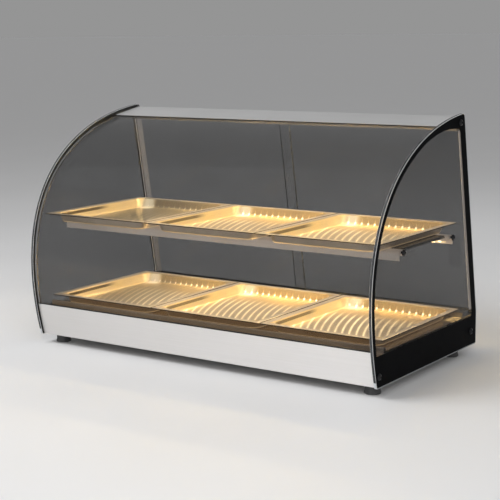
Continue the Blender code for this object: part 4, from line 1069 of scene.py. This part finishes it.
def rockers():
    """Rockers with round ends and a dished face, each marked with a bar and a ring."""
    radius, back, dip, crest, tilt = 0.0122, 0.0035, 0.0035, 0.0070, math.radians(8)
    pivot = Vector((0.2048, CONTROL_Z))
    turned = Matrix.Rotation(tilt, 2)

    def on_arc(y, sign):
        return Vector((y, sign * math.sqrt(radius**2 - y**2)))

    steps = 8
    ends = [-back + (crest + back) * k / steps for k in range(steps + 1)]
    outline = [on_arc(y, -1) for y in ends]
    tips = on_arc(crest, 1).y
    heights = [tips * (k / 6 - 1) for k in range(1, 12)]
    outline += [Vector((dip + (crest - dip) * (z / tips) ** 2, z)) for z in heights]
    outline += [on_arc(y, 1) for y in reversed(ends)]
    outline = [pivot + turned @ p for p in outline]
    for name, (x, material, slot) in ROCKERS.items():
        mesh = prism_mesh(f"rocker_{name}", outline, x - 0.0078, x + 0.0078)
        bevel(place(mesh, material, f"{name}_rocker", body=f"{name}_rocker"), 0.0004, 2)
        for mark, z in (("bar", 0.0062), ("ring", -0.0062)):
            out = dip + (crest - dip) * (z / tips) ** 2 + 0.00005
            slope = math.atan(2 * (crest - dip) * z / tips**2)
            work = bmesh.new()
            if mark == "bar":
                shapes = [rounded(rectangle(0.0004, 0.0018), 0.0003, 3)]
            else:
                shapes = [circle((0, 0), 0.0018, 24), circle((0, 0), 0.0011, 24)]

            def at(p, height):
                spot = pivot + turned @ Vector((out + height + p.y * math.tan(slope), z + p.y))
                return work.verts.new((x + p.x, *spot))

            rings = [[at(p, height) for p in shape] for shape in shapes for height in (0.0, 0.00012)]
            if mark == "ring":
                rings = [rings[0], rings[1], rings[3], rings[2], rings[0]]
            bridge(work, rings, caps=mark == "bar")
            place(mesh_from(work, f"mark_{mark}_{name}"), MARK, body=f"{name}_rocker")


def screw_mesh(name, axis, radius=0.0036, height=0.0018):
    """A pan-head screw with a cross recess."""
    work = bmesh.new()
    segments, arm, reach, depth = 32, 0.0005, radius * 0.55, 0.0009
    cross = []
    for quarter in range(4):
        for p in ((reach, -arm), (reach, arm), (arm, arm)):
            a = quarter * math.pi / 2
            cross.append((p[0] * math.cos(a) - p[1] * math.sin(a), p[0] * math.sin(a) + p[1] * math.cos(a)))
    floor = [work.verts.new((*p, height - depth)) for p in cross]
    lip = [work.verts.new((*p, height)) for p in cross]
    rows = ((0.80, 1.0), (0.93, 0.86), (1.0, 0.55), (1.0, 0.0))
    rings = [[work.verts.new(p) for p in ring_of(radius * r, height * z, segments)] for r, z in rows]
    bridge(work, [floor, lip], caps=False)
    work.faces.new(floor)
    edges = [work.edges.get((a, b)) for a, b in zip(lip, lip[1:] + lip[:1])]
    edges += [work.edges.new((a, b)) for a, b in zip(rings[0], rings[0][1:] + rings[0][:1])]
    bmesh.ops.triangle_fill(work, edges=edges, use_beauty=True)
    bridge(work, rings, caps=False)
    work.faces.new(rings[-1])
    turn(work, axis)
    return mesh_from(work, name, 35)


def panel_screws():
    spots = [(x, z) for x in (-0.400, 0.400, 0.0) for z in (0.031, 0.077)]
    for index, (x, z) in enumerate(spots):
        name = f"panel_screw_{index}"
        place(screw_mesh(name, "Y"), HIDDEN_STEEL, location=(x, PANEL_FACE_Y + 0.00002, z))


for build in (
    side_glasses, curved_glass, door_panes, fascia, sheets, rails, posts, light_bars, pans, bolts, feet,
    pulls, knob, rockers, panel_screws,
):
    build()


# Floor, lights and camera


def floor():
    mesh = bpy.data.meshes.new("floor")
    mesh.from_pydata([(*p, 0) for p in rectangle(150.0, 150.0)], [], [range(4)])
    ground = linked("floor", mesh)
    s = Shader("floor_pale")
    cloud = s.noise(3.0, 2.0)
    s.set("Base Color", s.mix(cloud, (0.74, 0.74, 0.745), (0.78, 0.78, 0.785)))
    s.set("Roughness", s.spread(cloud, 0.55, 0.65))
    mesh.materials.append(s.material)


def area(name, location, aim, size, power, colour=(1, 1, 1), glossy=False):
    data = bpy.data.lights.new(name, "AREA")
    data.shape = "RECTANGLE"
    data.size, data.size_y = size
    data.energy = power
    data.color = colour
    lamp = linked(name, data)
    lamp.location = location
    lamp.rotation_euler = (Vector(aim) - Vector(location)).to_track_quat("-Z", "Y").to_euler()
    lamp.visible_camera = False
    lamp.visible_glossy = glossy
    lamp.visible_transmission = glossy


def studio():
    world = bpy.data.worlds.new("studio")
    bpy.context.scene.world = world
    world.use_nodes = True
    background = world.node_tree.nodes["Background"]
    background.inputs[0].default_value = (1.0, 1.0, 1.0, 1.0)
    background.inputs[1].default_value = 0.30
    data = bpy.data.lights.new("sky", "SUN")
    data.energy = 0.32
    data.angle = math.radians(60)
    linked("sky", data).rotation_euler = (math.radians(18), math.radians(-14), 0)
    area("key", (-1.2, -1.6, 2.2), (0, 0, 0.2), (1.6, 1.2), 50)
    area("fill", (1.9, -2.0, 1.3), (0, 0, 0.2), (1.6, 1.6), 26)
    area("back", (0.3, 2.2, 1.8), (0, 0, 0.3), (1.8, 0.8), 6)
    area("warm_shelf", (0, 0.0915, 0.2470), (0, 0.060, 0.09), (0.76, 0.010), 3.0, WARM, glossy=True)
    area("warm_roof", (0, 0.084, 0.4795), (0, 0.040, 0.28), (0.76, 0.012), 3.4, WARM, glossy=True)


def camera():
    """Looks from the front right, a little above the cabinet's middle."""
    azimuth, elevation, roll = math.radians(34.667), math.radians(9.662), math.radians(-0.656)
    back = Vector((
        math.sin(azimuth) * math.cos(elevation), -math.cos(azimuth) * math.cos(elevation), math.sin(elevation)
    ))
    level = Vector((math.cos(azimuth), math.sin(azimuth), 0))
    up = back.cross(level)
    right = level * math.cos(roll) + up * math.sin(roll)
    top = up * math.cos(roll) - level * math.sin(roll)
    data = bpy.data.cameras.new("camera")
    data.lens = 92.87
    data.sensor_width = 36
    eye = linked("camera", data)
    place_at = Matrix((right, top, back)).transposed().to_4x4()
    place_at.translation = Vector((1.52692, -2.21909, 0.66984))
    eye.matrix_world = place_at
    bpy.context.scene.camera = eye


floor()
studio()
camera()
bpy.context.scene.view_settings.view_transform = "Standard"
